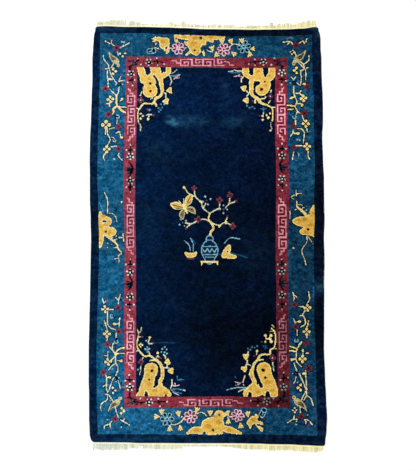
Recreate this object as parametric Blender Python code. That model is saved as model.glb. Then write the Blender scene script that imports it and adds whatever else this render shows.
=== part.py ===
"""Hand-knotted Chinese art deco rug: a flat pile body and a fringed kilim strip at each end.

Metres, +Z up. The rug lies flat on its foundation at z = 0, with its length along Y,
and the origin is under the middle of the whole piece, fringe included.
"""

import random

import bmesh
import bpy

# nominal size of the pile, before its edges wander
PILE_WIDTH = 1.20
PILE_LENGTH = 2.13

# thickness of the cloth, and the slow unevenness of its top
PILE_TOP = 0.011
SELVAGE_TOP = 0.0038
LIP_EDGE_HEIGHT = 0.0019
SURFACE_WAVE = 0.0006
WAVE_ACROSS = 0.31
WAVE_ALONG = 0.47
WAVE_SLANTED = 0.23

# how far the pile stands back from the outer edge, and the width of its rounded shoulder
SELVAGE_WIDTH = 0.0045
END_LIP = 0.0008
SHOULDER = 0.007

# kilim strip and fringe
PIECE_GAP = 0.0003
CORNER_GAP_GROWTH = 0.12
CORNER_REACH = 0.035
STRIP_WIDTH = 0.009
STRIP_THICKNESS = 0.0026
LOCKS_PER_END = 96
LOCK_WIDTH = 0.0072
LOCK_TAPER = 0.42
LOCK_TIP_THICKNESS = 0.0012
LOCK_STEPS = 3
LOCK_LEAN = 0.10
SHORTEST_LOCK = 0.003
STRIP_MARGINS = {
    "top": {"left": 0.008, "right": 0.010},
    "bottom": {"left": 0.010, "right": 0.008},
}

# grid lines of the top, as distances in from the edge, and the spans between them
MARGIN_LINES = (0.0, 0.003, 0.007, 0.012, 0.020, 0.032)
SPANS_ACROSS = 19
SPANS_ALONG = 34

# the long edges wander by a few millimetres: one row for each place along the rug
LONG_EDGES = [
    {"y": -1.060, "left": -0.587, "right": 0.597},
    {"y": -0.995, "left": -0.590, "right": 0.602},
    {"y": -0.945, "left": -0.593, "right": 0.605},
    {"y": -0.845, "left": -0.594, "right": 0.601},
    {"y": -0.746, "left": -0.597, "right": 0.597},
    {"y": -0.595, "left": -0.598, "right": 0.593},
    {"y": -0.444, "left": -0.596, "right": 0.595},
    {"y": -0.292, "left": -0.594, "right": 0.597},
    {"y": -0.140, "left": -0.593, "right": 0.600},
    {"y": -0.037, "left": -0.592, "right": 0.598},
    {"y": 0.065, "left": -0.595, "right": 0.602},
    {"y": 0.168, "left": -0.600, "right": 0.601},
    {"y": 0.271, "left": -0.601, "right": 0.601},
    {"y": 0.375, "left": -0.603, "right": 0.597},
    {"y": 0.479, "left": -0.602, "right": 0.594},
    {"y": 0.583, "left": -0.598, "right": 0.599},
    {"y": 0.687, "left": -0.596, "right": 0.599},
    {"y": 0.792, "left": -0.593, "right": 0.595},
    {"y": 0.898, "left": -0.594, "right": 0.594},
    {"y": 0.951, "left": -0.591, "right": 0.590},
    {"y": 1.003, "left": -0.588, "right": 0.590},
    {"y": 1.060, "left": -0.582, "right": 0.582},
]

# the ends of the pile, where the kilim strips begin
END_EDGES = [
    {"x": -0.590, "top": 1.066, "bottom": -1.060},
    {"x": -0.525, "top": 1.068, "bottom": -1.060},
    {"x": -0.420, "top": 1.064, "bottom": -1.061},
    {"x": -0.335, "top": 1.064, "bottom": -1.064},
    {"x": -0.210, "top": 1.061, "bottom": -1.064},
    {"x": -0.127, "top": 1.058, "bottom": -1.066},
    {"x": 0.000, "top": 1.052, "bottom": -1.066},
    {"x": 0.120, "top": 1.051, "bottom": -1.066},
    {"x": 0.250, "top": 1.049, "bottom": -1.068},
    {"x": 0.330, "top": 1.050, "bottom": -1.071},
    {"x": 0.414, "top": 1.051, "bottom": -1.072},
    {"x": 0.500, "top": 1.054, "bottom": -1.076},
    {"x": 0.560, "top": 1.059, "bottom": -1.077},
    {"x": 0.600, "top": 1.058, "bottom": -1.080},
]

# radius of each corner of the pile's top
CORNER_RADII = {
    ("left", "top"): 0.008,
    ("right", "top"): 0.009,
    ("left", "bottom"): 0.020,
    ("right", "bottom"): 0.014,
}

# rings from the top's border down to the floor: share of the shoulder, share of the lip, height
EDGE_PROFILE = [
    {"shoulder": 0.62, "lip": 0.0, "height": 0.0102},
    {"shoulder": 0.93, "lip": 0.0, "height": 0.0082},
    {"shoulder": 1.00, "lip": 0.0, "height": SELVAGE_TOP},
    {"shoulder": 1.00, "lip": 0.80, "height": 0.0034},
    {"shoulder": 1.00, "lip": 1.00, "height": LIP_EDGE_HEIGHT},
    {"shoulder": 1.00, "lip": 0.90, "height": 0.0},
]

# the worn fringe: each stretch from the left ends at x, with this strand length past the strip
TOP_FRINGE = [
    {"ends": -0.510, "length": 0.020},
    {"ends": -0.424, "length": 0.029},
    {"ends": -0.404, "length": 0.005},
    {"ends": -0.374, "length": 0.027},
    {"ends": -0.345, "length": 0.019},
    {"ends": -0.200, "length": 0.009},
    {"ends": -0.176, "length": 0.024},
    {"ends": -0.142, "length": 0.013},
    {"ends": -0.112, "length": 0.030},
    {"ends": 0.030, "length": 0.015},
    {"ends": 0.054, "length": 0.022},
    {"ends": 0.144, "length": 0.018},
    {"ends": 0.170, "length": 0.004},
    {"ends": 0.208, "length": 0.009},
    {"ends": 0.326, "length": 0.015},
    {"ends": 0.346, "length": 0.032},
    {"ends": 0.368, "length": 0.016},
    {"ends": 0.408, "length": 0.023},
    {"ends": 0.438, "length": 0.027},
    {"ends": 0.470, "length": 0.017},
    {"ends": 0.496, "length": 0.027},
    {"ends": 0.536, "length": 0.032},
    {"ends": 0.600, "length": 0.029},
]
BOTTOM_FRINGE = [
    {"ends": -0.570, "length": 0.035},
    {"ends": -0.545, "length": 0.028},
    {"ends": -0.449, "length": 0.032},
    {"ends": -0.390, "length": 0.030},
    {"ends": -0.346, "length": 0.020},
    {"ends": -0.322, "length": 0.006},
    {"ends": -0.264, "length": 0.020},
    {"ends": -0.150, "length": 0.024},
    {"ends": -0.118, "length": 0.020},
    {"ends": 0.090, "length": 0.008},
    {"ends": 0.133, "length": 0.011},
    {"ends": 0.169, "length": 0.018},
    {"ends": 0.308, "length": 0.022},
    {"ends": 0.350, "length": 0.024},
    {"ends": 0.436, "length": 0.022},
    {"ends": 0.462, "length": 0.027},
    {"ends": 0.556, "length": 0.025},
    {"ends": 0.580, "length": 0.018},
    {"ends": 0.610, "length": 0.010},
]


def between(rows, key, place, value):
    """Read a table's value at a place, smoothly between its rows."""
    if place <= rows[0][key]:
        return rows[0][value]
    for low, high in zip(rows, rows[1:]):
        if place <= high[key]:
            share = (place - low[key]) / (high[key] - low[key])
            eased = share * share * (3.0 - 2.0 * share)
            return low[value] + (high[value] - low[value]) * eased
    return rows[-1][value]


def stretch_length(stretches, x):
    """Length of the fringe at x, from the first stretch that reaches so far."""
    for stretch in stretches:
        if x <= stretch["ends"]:
            return stretch["length"]
    return stretches[-1]["length"]


def line_shares(length, spans):
    """Grid lines as shares of a length: close together at both margins, even between."""
    inner = length - 2.0 * MARGIN_LINES[-1]
    near = list(MARGIN_LINES)
    middle = [MARGIN_LINES[-1] + inner * step / spans for step in range(1, spans)]
    far = [length - margin for margin in reversed(MARGIN_LINES)]
    return [place / length for place in near + middle + far]


def place_on_rug(u, v):
    """Point of the pile's top for shares u across and v along, before the corners are rounded."""
    side_inset = SELVAGE_WIDTH + SHOULDER
    end_inset = END_LIP + SHOULDER
    x = PILE_WIDTH * (u - 0.5)
    y = PILE_LENGTH * (v - 0.5)
    for _ in range(4):
        left = between(LONG_EDGES, "y", y, "left") + side_inset
        right = between(LONG_EDGES, "y", y, "right") - side_inset
        x = left + (right - left) * u
        bottom = between(END_EDGES, "x", x, "bottom") + end_inset
        top = between(END_EDGES, "x", x, "top") - end_inset
        y = bottom + (top - bottom) * v
    return x, y


def round_corner(x, y):
    """Pull a point near a corner inward, so that the square corner becomes a quarter circle."""
    side = "left" if x < 0.0 else "right"
    end = "bottom" if y < 0.0 else "top"
    radius = CORNER_RADII[(side, end)]
    corner_x, corner_y = place_on_rug(0.0 if side == "left" else 1.0, 0.0 if end == "bottom" else 1.0)
    toward_x = -1.0 if side == "left" else 1.0
    toward_y = -1.0 if end == "bottom" else 1.0
    centre_x = corner_x - toward_x * radius
    centre_y = corner_y - toward_y * radius
    across = (x - centre_x) * toward_x / radius
    along = (y - centre_y) * toward_y / radius
    if across <= 0.0 or along <= 0.0:
        return x, y
    across = min(across, 1.0)
    along = min(along, 1.0)
    x = centre_x + toward_x * radius * across * (1.0 - 0.5 * along * along) ** 0.5
    y = centre_y + toward_y * radius * along * (1.0 - 0.5 * across * across) ** 0.5
    return x, y


def surface_height(x, y, u, v):
    """Height of the pile: a slow unevenness that fades out at the edges."""
    fade = 16.0 * u * (1.0 - u) * v * (1.0 - v)
    slow = bump_wave(x, WAVE_ACROSS) * bump_wave(y, WAVE_ALONG) + 0.5 * bump_wave(x + y, WAVE_SLANTED)
    return PILE_TOP - SURFACE_WAVE * min(fade, 1.0) * (0.5 + 0.33 * slow)


def bump_wave(place, wavelength):
    """A smooth wave from -1 to 1 made of two parabolas for each wavelength."""
    phase = (place / wavelength) % 1.0
    half = phase * 2.0 % 1.0
    arch = 4.0 * half * (1.0 - half)
    return arch if phase < 0.5 else -arch


def border_loop(mesh):
    """Border vertices of the top in order, as the start of its side walls."""
    edges = [edge for edge in mesh.edges if edge.is_boundary]
    first = edges[0].verts[0]
    loop = [first]
    previous = None
    current = first
    while True:
        steps = [edge for edge in current.link_edges if edge.is_boundary and edge is not previous]
        previous = steps[0]
        current = previous.other_vert(current)
        if current is first:
            return edges, loop
        loop.append(current)


def outward_directions(loop):
    """Outward direction in plan at each border vertex."""
    directions = {}
    area = sum(a.co.x * b.co.y - b.co.x * a.co.y for a, b in zip(loop, loop[1:] + loop[:1]))
    turn = 1.0 if area > 0.0 else -1.0
    for index, vertex in enumerate(loop):
        before = loop[index - 1].co
        after = loop[(index + 1) % len(loop)].co
        along = (after - before).normalized()
        directions[vertex] = (along.y * turn, -along.x * turn)
    return directions


def add_walls(mesh):
    """Extrude the border ring by ring: shoulder, pile wall, selvage lip and underside."""
    edges, loop = border_loop(mesh)
    outward = outward_directions(loop)
    ring = {vertex: (vertex.co.copy(), outward[vertex]) for vertex in loop}
    for profile in EDGE_PROFILE:
        made = bmesh.ops.extrude_edge_only(mesh, edges=edges)["geom"]
        lower_ring = {}
        for vertex in [item for item in made if isinstance(item, bmesh.types.BMVert)]:
            above = next(edge.other_vert(vertex) for edge in vertex.link_edges
                         if edge.other_vert(vertex) in ring)
            start, (out_x, out_y) = ring[above]
            lip = SELVAGE_WIDTH * out_x * out_x + END_LIP * out_y * out_y
            reach = SHOULDER * profile["shoulder"] + lip * profile["lip"]
            vertex.co = (start.x + out_x * reach, start.y + out_y * reach, profile["height"])
            lower_ring[vertex] = ring[above]
        ring = lower_ring
        edges = [item for item in made if isinstance(item, bmesh.types.BMEdge) and item.is_boundary]
    bmesh.ops.edgeloop_fill(mesh, edges=edges)


def make_object(name, mesh, material):
    """Turn a finished bmesh into a named object with its material."""
    bmesh.ops.recalc_face_normals(mesh, faces=mesh.faces)
    data = bpy.data.meshes.new(name)
    mesh.to_mesh(data)
    mesh.free()
    data.materials.append(material)
    piece = bpy.data.objects.new(name, data)
    bpy.context.scene.collection.objects.link(piece)
    return piece


def make_material(name, colour, roughness):
    """A plain fibre material."""
    material = bpy.data.materials.new(name)
    material.use_nodes = True
    shader = material.node_tree.nodes["Principled BSDF"]
    shader.inputs["Base Color"].default_value = (*colour, 1.0)
    shader.inputs["Roughness"].default_value = roughness
    shader.inputs["Metallic"].default_value = 0.0
    return material


def build_body():
    """The knotted cloth: one flat solid with a soft shoulder and a thin selvage on the long sides."""
    shares_u = line_shares(PILE_WIDTH - 2.0 * (SELVAGE_WIDTH + SHOULDER), SPANS_ACROSS)
    shares_v = line_shares(PILE_LENGTH - 2.0 * (END_LIP + SHOULDER), SPANS_ALONG)
    mesh = bmesh.new()
    steps_u = len(shares_u) - 1
    steps_v = len(shares_v) - 1
    bmesh.ops.create_grid(mesh, x_segments=steps_u, y_segments=steps_v, size=0.5)
    for vertex in mesh.verts:
        u = shares_u[round((vertex.co.x + 0.5) * steps_u)]
        v = shares_v[round((vertex.co.y + 0.5) * steps_v)]
        x, y = round_corner(*place_on_rug(u, v))
        vertex.co = (x, y, surface_height(x, y, u, v))
    add_walls(mesh)
    wool = make_material("navy_wool", (0.010, 0.024, 0.070), 0.9)
    return make_object("rug_body", mesh, wool)


def end_line(body, end):
    """Outermost line of the body at one end, as points from left to right."""
    heading = 1.0 if end == "top" else -1.0
    on_lip = [v.co for v in body.data.vertices if abs(v.co.z - LIP_EDGE_HEIGHT) < 1e-5]
    reach = max(heading * point.y for point in on_lip) - CORNER_REACH
    return sorted((point.x, point.y) for point in on_lip if heading * point.y > reach)


def read_line(line, x):
    """Height of a line of points at x."""
    for (x_low, y_low), (x_high, y_high) in zip(line, line[1:]):
        if x_low <= x <= x_high:
            return y_low + (y_high - y_low) * (x - x_low) / (x_high - x_low)
    raise ValueError("outside the line")


def strip_edge(line, x, end):
    """Inner edge of the kilim strip: just clear of the body, and a little more at a round corner."""
    heading = 1.0 if end == "top" else -1.0
    body_edge = read_line(line, x)
    drop = max(0.0, heading * (between(END_EDGES, "x", x, end) - body_edge))
    return body_edge + heading * (PIECE_GAP + CORNER_GAP_GROWTH * drop)


def lay_locks(start_x, end_x, stretches, draw):
    """Places and sizes of the locks along one end."""
    pitch = (end_x - start_x) / LOCKS_PER_END
    locks = []
    for index in range(LOCKS_PER_END):
        middle = start_x + pitch * (index + 0.5)
        length = stretch_length(stretches, middle) * draw.uniform(0.80, 1.06)
        locks.append({
            "middle": middle,
            "half": 0.5 * LOCK_WIDTH * draw.uniform(0.88, 1.12),
            "length": max(SHORTEST_LOCK, length),
            "lean": draw.uniform(-LOCK_LEAN, LOCK_LEAN),
            "curl": draw.uniform(-LOCK_LEAN, LOCK_LEAN),
        })
    return locks


def grow_lock(mesh, face, lock, heading):
    """Extrude one lock out of its face of the strip, flat on the floor and thinner to its tip."""
    root_y = sum(vertex.co.y for vertex in face.verts) / 4.0
    for step in range(1, LOCK_STEPS + 1):
        share = step / LOCK_STEPS
        made = bmesh.ops.extrude_discrete_faces(mesh, faces=[face])
        face = made["faces"][0]
        middle_now = sum(vertex.co.x for vertex in face.verts) / 4.0
        sway = lock["lean"] * share * share + lock["curl"] * share * (1.0 - share)
        middle = lock["middle"] + lock["length"] * sway
        half = lock["half"] * (1.0 - LOCK_TAPER * share)
        height = STRIP_THICKNESS + (LOCK_TIP_THICKNESS - STRIP_THICKNESS) * share
        for vertex in face.verts:
            side = -1.0 if vertex.co.x < middle_now else 1.0
            raised = height if vertex.co.z > 0.0 else 0.0
            vertex.co = (middle + side * half, root_y + heading * lock["length"] * share, raised)


def build_fringe(name, body, end, stretches, seed):
    """Kilim strip of one end with its locks, as one solid."""
    heading = 1.0 if end == "top" else -1.0
    line = end_line(body, end)
    start_x = line[0][0] + STRIP_MARGINS[end]["left"]
    end_x = line[-1][0] - STRIP_MARGINS[end]["right"]
    locks = lay_locks(start_x, end_x, stretches, random.Random(seed))
    stations = [start_x]
    for lock in locks:
        stations += [lock["middle"] - lock["half"], lock["middle"] + lock["half"]]
    stations.append(end_x)

    mesh = bmesh.new()
    sections = []
    for x in stations:
        inner = strip_edge(line, x, end)
        outer = inner + heading * STRIP_WIDTH
        corners = [(inner, 0.0), (outer, 0.0), (outer, STRIP_THICKNESS), (inner, STRIP_THICKNESS)]
        sections.append([mesh.verts.new((x, y, z)) for y, z in corners])
    mesh.faces.new(sections[0])
    mesh.faces.new(sections[-1])
    outer_faces = []
    for left, right in zip(sections, sections[1:]):
        for corner in range(4):
            following = (corner + 1) % 4
            face = mesh.faces.new((left[corner], right[corner], right[following], left[following]))
            if corner == 1:
                outer_faces.append(face)
    for index, lock in enumerate(locks):
        grow_lock(mesh, outer_faces[2 * index + 1], lock, heading)
    cotton = make_material(name + "_cotton", (0.72, 0.62, 0.42), 0.95)
    return make_object(name, mesh, cotton)


def main():
    for old in list(bpy.data.objects):
        bpy.data.objects.remove(old, do_unlink=True)
    body = build_body()
    build_fringe("top_fringe", body, "top", TOP_FRINGE, seed=11)
    build_fringe("bottom_fringe", body, "bottom", BOTTOM_FRINGE, seed=23)


main()
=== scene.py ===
import math

import bpy
import numpy as np
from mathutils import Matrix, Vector


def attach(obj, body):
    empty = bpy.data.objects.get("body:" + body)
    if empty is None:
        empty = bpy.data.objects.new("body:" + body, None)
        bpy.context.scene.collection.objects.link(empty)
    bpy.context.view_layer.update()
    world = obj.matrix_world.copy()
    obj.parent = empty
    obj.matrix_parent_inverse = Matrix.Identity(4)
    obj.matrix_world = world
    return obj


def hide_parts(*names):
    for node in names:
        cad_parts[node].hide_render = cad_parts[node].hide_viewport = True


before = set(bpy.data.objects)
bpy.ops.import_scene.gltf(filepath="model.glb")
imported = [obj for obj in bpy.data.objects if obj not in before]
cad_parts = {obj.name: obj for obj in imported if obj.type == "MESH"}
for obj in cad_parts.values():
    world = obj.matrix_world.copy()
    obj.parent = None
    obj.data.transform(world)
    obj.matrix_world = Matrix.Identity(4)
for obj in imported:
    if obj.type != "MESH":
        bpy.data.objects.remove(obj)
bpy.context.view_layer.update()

# A hand-knotted Chinese rug: knotted pile over a woven foundation, overcast sides, kilim ends and fringe.
# The plan is kept in millimetres. Each long edge, and the bands of the design, wander a little.

print("plan: edges and bands")

planValues = {
    "length": 2130,  # mm, without the fringe
    "knotsAcross": (16, 45, 19, 240, 19, 45, 16),  # knots in each band, from the left
    "knotsAlong": (14, 39, 19, 562, 19, 39, 14),  # knots in each band, from the bottom
    "groundBands": ("guard", "teal", "red", "field", "red", "teal", "guard"),
    "sideSpread": 2.6,  # mm that the bound edges pass the size woven
    "endSpread": 3.6,
    "selvage": 4.5,  # mm between the outer edge and the pile
    "endLip": 0.8,
    "rim": (0.0, 0.017, 0.072, 0.155),  # first grid lines, as shares of the outer band
    "fitRounds": 4,  # how often the grid's two ways are fitted together
    "cornerRadius": {(-1, 1): 10, (1, 1): 11, (-1, -1): 22, (1, -1): 16},
    "ragged": 2.2,  # mm by which the knots' outlines wander
    "outline": 5,  # mm that an outline may reach past its stroke
    "windowMargin": 14,
    "curveSteps": 5,
    "fretStroke": 0.80,  # how much of a cell the fret's line fills
}
# At each y: where the lines that run along the rug cross it.
alongColumns = ("y", "edgeL", "tealL", "redL", "fieldL", "fieldR", "redR", "tealR", "edgeR")
alongRows = [
    (-1060, -587, -548, -415, -357, 358, 421, 556, 597),
    (-995, -590, -549, -415, -357, 358, 421, 556, 602),
    (-945, -593, -552, -415, -357, 358, 421, 556, 605),
    (-845, -594, -556, -416, -357, 358, 420, 553, 601),
    (-746, -597, -557, -416, -359, 359, 419, 553, 597),
    (-595, -598, -560, -420, -359, 355, 417, 550, 593),
    (-444, -596, -556, -421, -360, 352, 414, 545, 595),
    (-292, -594, -554, -420, -361, 354, 415, 547, 597),
    (-140, -593, -551, -419, -362, 351, 414, 545, 600),
    (-37, -592, -551, -420, -364, 352, 415, 547, 598),
    (65, -595, -555, -423, -367, 353, 418, 552, 602),
    (168, -600, -559, -427, -368, 355, 422, 550, 601),
    (271, -601, -564, -428, -368, 356, 422, 554, 601),
    (375, -603, -563, -426, -366, 356, 420, 556, 597),
    (479, -602, -563, -426, -365, 352, 417, 553, 594),
    (583, -598, -560, -423, -363, 352, 416, 552, 599),
    (687, -596, -558, -421, -361, 352, 416, 554, 599),
    (792, -593, -555, -420, -362, 355, 416, 549, 595),
    (898, -594, -556, -419, -363, 355, 416, 547, 594),
    (951, -591, -556, -419, -363, 355, 416, 547, 590),
    (1003, -588, -556, -419, -363, 355, 416, 547, 590),
    (1060, -582, -556, -419, -363, 355, 416, 547, 582),
]
# At each x: where the lines that run across the rug cross it.
acrossColumns = ("x", "edgeB", "tealB", "redB", "fieldB", "fieldT", "redT", "tealT", "edgeT")
acrossRows = [
    (-590, -1061, -1023, -893, -834, 853, 909, 1030, 1066),
    (-525, -1061, -1023, -893, -834, 853, 909, 1032, 1068),
    (-420, -1062, -1023, -893, -834, 853, 909, 1032, 1064),
    (-335, -1065, -1023, -892, -834, 853, 908, 1031, 1064),
    (-210, -1065, -1024, -892, -836, 852, 907, 1027, 1061),
    (-127, -1066, -1027, -892, -837, 850, 906, 1023, 1058),
    (0, -1066, -1027, -892, -836, 850, 902, 1019, 1052),
    (120, -1066, -1024, -892, -835, 847, 899, 1014, 1051),
    (250, -1068, -1023, -892, -837, 848, 900, 1016, 1049),
    (330, -1071, -1025, -893, -838, 849, 900, 1016, 1050),
    (414, -1072, -1025, -893, -838, 850, 905, 1016, 1051),
    (500, -1076, -1029, -893, -838, 850, 905, 1022, 1055),
    (560, -1079, -1031, -893, -838, 850, 905, 1026, 1063),
    (600, -1081, -1032, -893, -838, 850, 905, 1028, 1063),
]


def spreadEdges(rows, spread):
    return [(row[0], row[1] - spread, *row[2:-1], row[-1] + spread) for row in rows]


# the pile and its bound edges spread a little past the size the rug was woven to
alongRows = spreadEdges(alongRows, planValues["sideSpread"])
acrossRows = spreadEdges(acrossRows, planValues["endSpread"])


def eased(share):
    return share * share * (3 - 2 * share)


def mixed(first, second, share):
    return first * (1 - share) + second * share


def tableValue(rows, column, place):
    stations = np.array([row[0] for row in rows], float)
    values = np.array([row[column] for row in rows], float)
    place = np.clip(place, stations[0], stations[-1])
    low = np.clip(np.searchsorted(stations, place) - 1, 0, len(stations) - 2)
    share = (place - stations[low]) / (stations[low + 1] - stations[low])
    return values[low] + (values[low + 1] - values[low]) * eased(share)


def gridLines(counts, coarseness):
    # for each grid line across the bands: its band, and its share of the way over that band
    rim = planValues["rim"]
    last = len(counts) - 1
    found = []
    for band, count in enumerate(counts):
        count = max(len(rim) + 1, round(count / coarseness))
        shares = np.linspace(0, 1, count + 1)
        if band in (0, last):
            shares = np.concatenate([rim, np.linspace(rim[-1], 1, count - len(rim) + 2)[1:]])
        if band == last:
            shares = 1 - shares[::-1]
        found += [(band, share) for share in shares[:-1]]
    bands, shares = zip(*found, (last, 1.0))
    return np.array(bands), np.array(shares)


def fitLines(table, place, band, share, inset):
    # where grid lines of one way lie at each place along them, and how far in from the outer two
    lines = np.stack([tableValue(table, column, place) for column in range(1, len(table[0]))])
    lines[0] += inset
    lines[-1] -= inset
    rows, columns = np.indices(place.shape, sparse=True)
    low, high = lines[band, rows, columns], lines[band + 1, rows, columns]
    fitted = low + (high - low) * share
    return fitted, np.minimum(fitted - lines[0], lines[-1] - fitted)


def placeLines(bandX, shareX, bandY, shareY, inset):
    # where the grid's lines cross, in millimetres, and how far in from the edge each crossing is
    bands = len(planValues["groundBands"])
    evenY = planValues["length"] * (bandY + shareY - bands / 2) / bands
    y = np.broadcast_to(evenY[:, None], (len(shareY), len(shareX)))
    for turn in range(planValues["fitRounds"]):
        x, fromSides = fitLines(alongRows, y, bandX[None, :], shareX[None, :], inset[0])
        y, fromEnds = fitLines(acrossRows, x, bandY[:, None], shareY[:, None], inset[1])
    inward = np.minimum(fromSides, fromEnds)
    for (sideX, sideY), radius in planValues["cornerRadius"].items():
        u, v = 1 - fromSides / radius, 1 - fromEnds / radius
        corner = (u > 0) & (v > 0) & (np.sign(x) == sideX) & (np.sign(y) == sideY)
        u, v = u[corner], v[corner]
        roundU, roundV = u * np.sqrt(1 - v * v / 2), v * np.sqrt(1 - u * u / 2)
        x[corner] += sideX * radius * (roundU - u)
        y[corner] += sideY * radius * (roundV - v)
        inward[corner] = radius * (1 - np.hypot(roundU, roundV))
    return x, y, np.maximum(inward, 0)


# smooth random patches: how wide and how long their cells are in millimetres, and their seed
cloudLayers = {
    "raggedKnots": (9, 9, 4), "lean": (300, 260, 11),
    "longStreaks": (120, 13, 21), "shortStreaks": (34, 8, 22), "dyeLots": (500, 150, 23),
    "blots": (46, 38, 24), "smallBlots": (19, 17, 25),
    "speckle": (8, 7, 26), "fineSpeckle": (5, 5, 27), "patches": (17, 14, 28),
    "wear": (18, 11, 31), "waves": (150, 210, 41),
    "wornL": (40, 26, 17), "wornR": (40, 26, 18),
}
cloudReach = {"left": -750, "low": -1250, "width": 1600, "length": 2600, "spareCells": 4}


def cloud(x, y, layer):
    # the layer's value at each place, from 0 to 1
    cellX, cellY, seed = cloudLayers[layer]
    rows = int(cloudReach["length"] / cellY) + cloudReach["spareCells"]
    columns = int(cloudReach["width"] / cellX) + cloudReach["spareCells"]
    lattice = np.random.default_rng(seed).random((rows, columns))
    column, row = (x - cloudReach["left"]) / cellX, (y - cloudReach["low"]) / cellY
    left, low = np.floor(column).astype(int), np.floor(row).astype(int)
    shareX, shareY = eased(column - left), eased(row - low)
    lower = mixed(lattice[low, left], lattice[low, left + 1], shareX)
    upper = mixed(lattice[low + 1, left], lattice[low + 1, left + 1], shareX)
    return mixed(lower, upper, shareY)


print("wools")

# Each dyed wool: its colour on the left of the rug, lit by painted sheen off the nap, and on the right, in
# painted shade where the nap leans away.
wools = {
    "guard": ((5, 31, 61), (5, 20, 41)),
    "teal": ((22, 87, 124), (15, 60, 89)),
    "red": ((150, 62, 75), (106, 32, 42)),
    "field": ((3, 29, 61), (1, 10, 30)),
    "ink": ((4, 14, 32), (2, 8, 20)),
    "tealShade": ((9, 52, 86), (2, 14, 30)),
    "maroon": ((104, 30, 50), (78, 16, 28)),
    # the darker red inside the frets, partly its own wool and partly painted shadow of the carved lines
    "fretGroundAndShade": ((118, 44, 60), (92, 21, 34)),
    "pink": ((222, 156, 172), (216, 139, 152)),
    "peonyPink": ((228, 194, 208), (218, 172, 188)),
    "peonyHeart": ((112, 50, 76), (90, 34, 56)),
    "darkRed": ((124, 74, 92), (90, 42, 56)),
    "cherry": ((146, 82, 96), (92, 36, 51)),
    "gold": ((217, 181, 92), (217, 171, 75)),
    "ochre": ((204, 156, 62), (194, 142, 48)),
    "cream": ((238, 224, 166), (240, 216, 138)),
    "straw": ((208, 216, 190), (222, 213, 165)),
    "buff": ((230, 226, 212), (220, 202, 162)),
    "beige": ((202, 195, 150), (184, 172, 122)),
    "khaki": ((176, 166, 120), (156, 142, 94)),
    "olive": ((122, 118, 88), (104, 92, 60)),
    "brown": ((66, 64, 70), (48, 40, 44)),
    "white": ((204, 210, 210), (184, 188, 186)),
    "paleBlue": ((132, 186, 206), (118, 172, 194)),
    "dullBlue": ((84, 142, 168), (70, 112, 134)),
    "blue": ((62, 128, 162), (46, 98, 128)),
    "dimBlue": ((30, 84, 122), (22, 66, 100)),
    "plum": ((94, 78, 106), (84, 52, 70)),
    "spruce": ((34, 76, 96), (24, 46, 74)),
}
woolNames = list(wools)
# each ground's darker wool, painted round its motifs and inside rock holes: partly a dark outline, partly
# painted shadow of the carved groove
shadeOf = {"teal": "tealShade", "red": "maroon", "field": "ink", "guard": "ink"}


def woolIndex(name):
    return woolNames.index(name)


def curve(points):
    # a smooth line through given points; each point is x, y and half width
    points = np.array(points, float)
    padded = np.vstack([2 * points[0] - points[1], points, 2 * points[-1] - points[-2]])
    steps = planValues["curveSteps"]
    found = []
    for index in range(1, len(padded) - 2):
        before, start, end, after = padded[index - 1:index + 3]
        for share in np.arange(steps) / steps:
            found.append(0.5 * (2 * start + (end - before) * share
                                + (2 * before - 5 * start + 4 * end - after) * share ** 2
                                + (3 * start - before - 3 * end + after) * share ** 3))
    found.append(padded[-2])
    return np.array(found)


class KnotBoard:
    # the knots of one layer of the rug: where each one is, and which wool it is tied in

    def __init__(self, x, y, bandX, bandY):
        self.x, self.y = x, y
        grounds = np.array([woolIndex(name) for name in planValues["groundBands"]])
        last = len(grounds) - 1
        depthX, depthY = np.minimum(bandX, last - bandX), np.minimum(bandY, last - bandY)
        self.ground = grounds[np.minimum(depthX[None, :], depthY[:, None])]
        self.wool = self.ground.copy()
        self.rowY, self.columnX = y.mean(axis=1), x.mean(axis=0)
        self.ragged = (cloud(x, y, "raggedKnots") - 0.5) * planValues["ragged"]
        self.shades = np.arange(len(woolNames))
        for ground, shade in shadeOf.items():
            self.shades[woolIndex(ground)] = woolIndex(shade)

    def window(self, low, high):
        # the rows and the columns of knots between two corners, and some more
        margin = planValues["windowMargin"]
        rows = np.searchsorted(self.rowY, (low[1] - margin, high[1] + margin))
        columns = np.searchsorted(self.columnX, (low[0] - margin, high[0] + margin))
        return slice(*rows), slice(*columns)

    def distance(self, limbs, rows, columns):
        x, y = self.x[rows, columns], self.y[rows, columns]
        nearest = np.full(x.shape, np.inf)
        for limb in limbs:
            for (ax, ay, ar), (bx, by, br) in zip(limb[:-1], limb[1:]):
                dx, dy = bx - ax, by - ay
                share = np.clip(((x - ax) * dx + (y - ay) * dy) / max(dx * dx + dy * dy, 1e-6), 0, 1)
                away = np.hypot(x - ax - dx * share, y - ay - dy * share) - (ar + (br - ar) * share)
                nearest = np.minimum(nearest, away)
        return nearest

    def paint(self, limbs, bands, cuts, only):
        # bands run from the outside in: how far out each one reaches, and its wool
        reach = np.vstack(limbs)
        half = reach[:, 2].max() + planValues["outline"]
        rows, columns = self.window(reach[:, :2].min(0) - half, reach[:, :2].max(0) + half)
        away = self.distance(limbs, rows, columns) + self.ragged[rows, columns]
        if cuts:
            away = np.maximum(away, -self.distance(cuts, rows, columns) - self.ragged[rows, columns])
        here, ground = self.wool[rows, columns], self.ground[rows, columns]
        allowed = ground == woolIndex(only) if only else np.ones(here.shape, bool)
        for reachOut, name in bands:
            mask = (away < reachOut) & allowed
            # a 'shade' band, partly painted shadow of the carved groove, darkens only bare ground round the
            # motif
            if name == "shade":
                mask &= here == ground
            here[mask] = self.shades[ground[mask]] if name in ("shade", "bare") else woolIndex(name)


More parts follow.
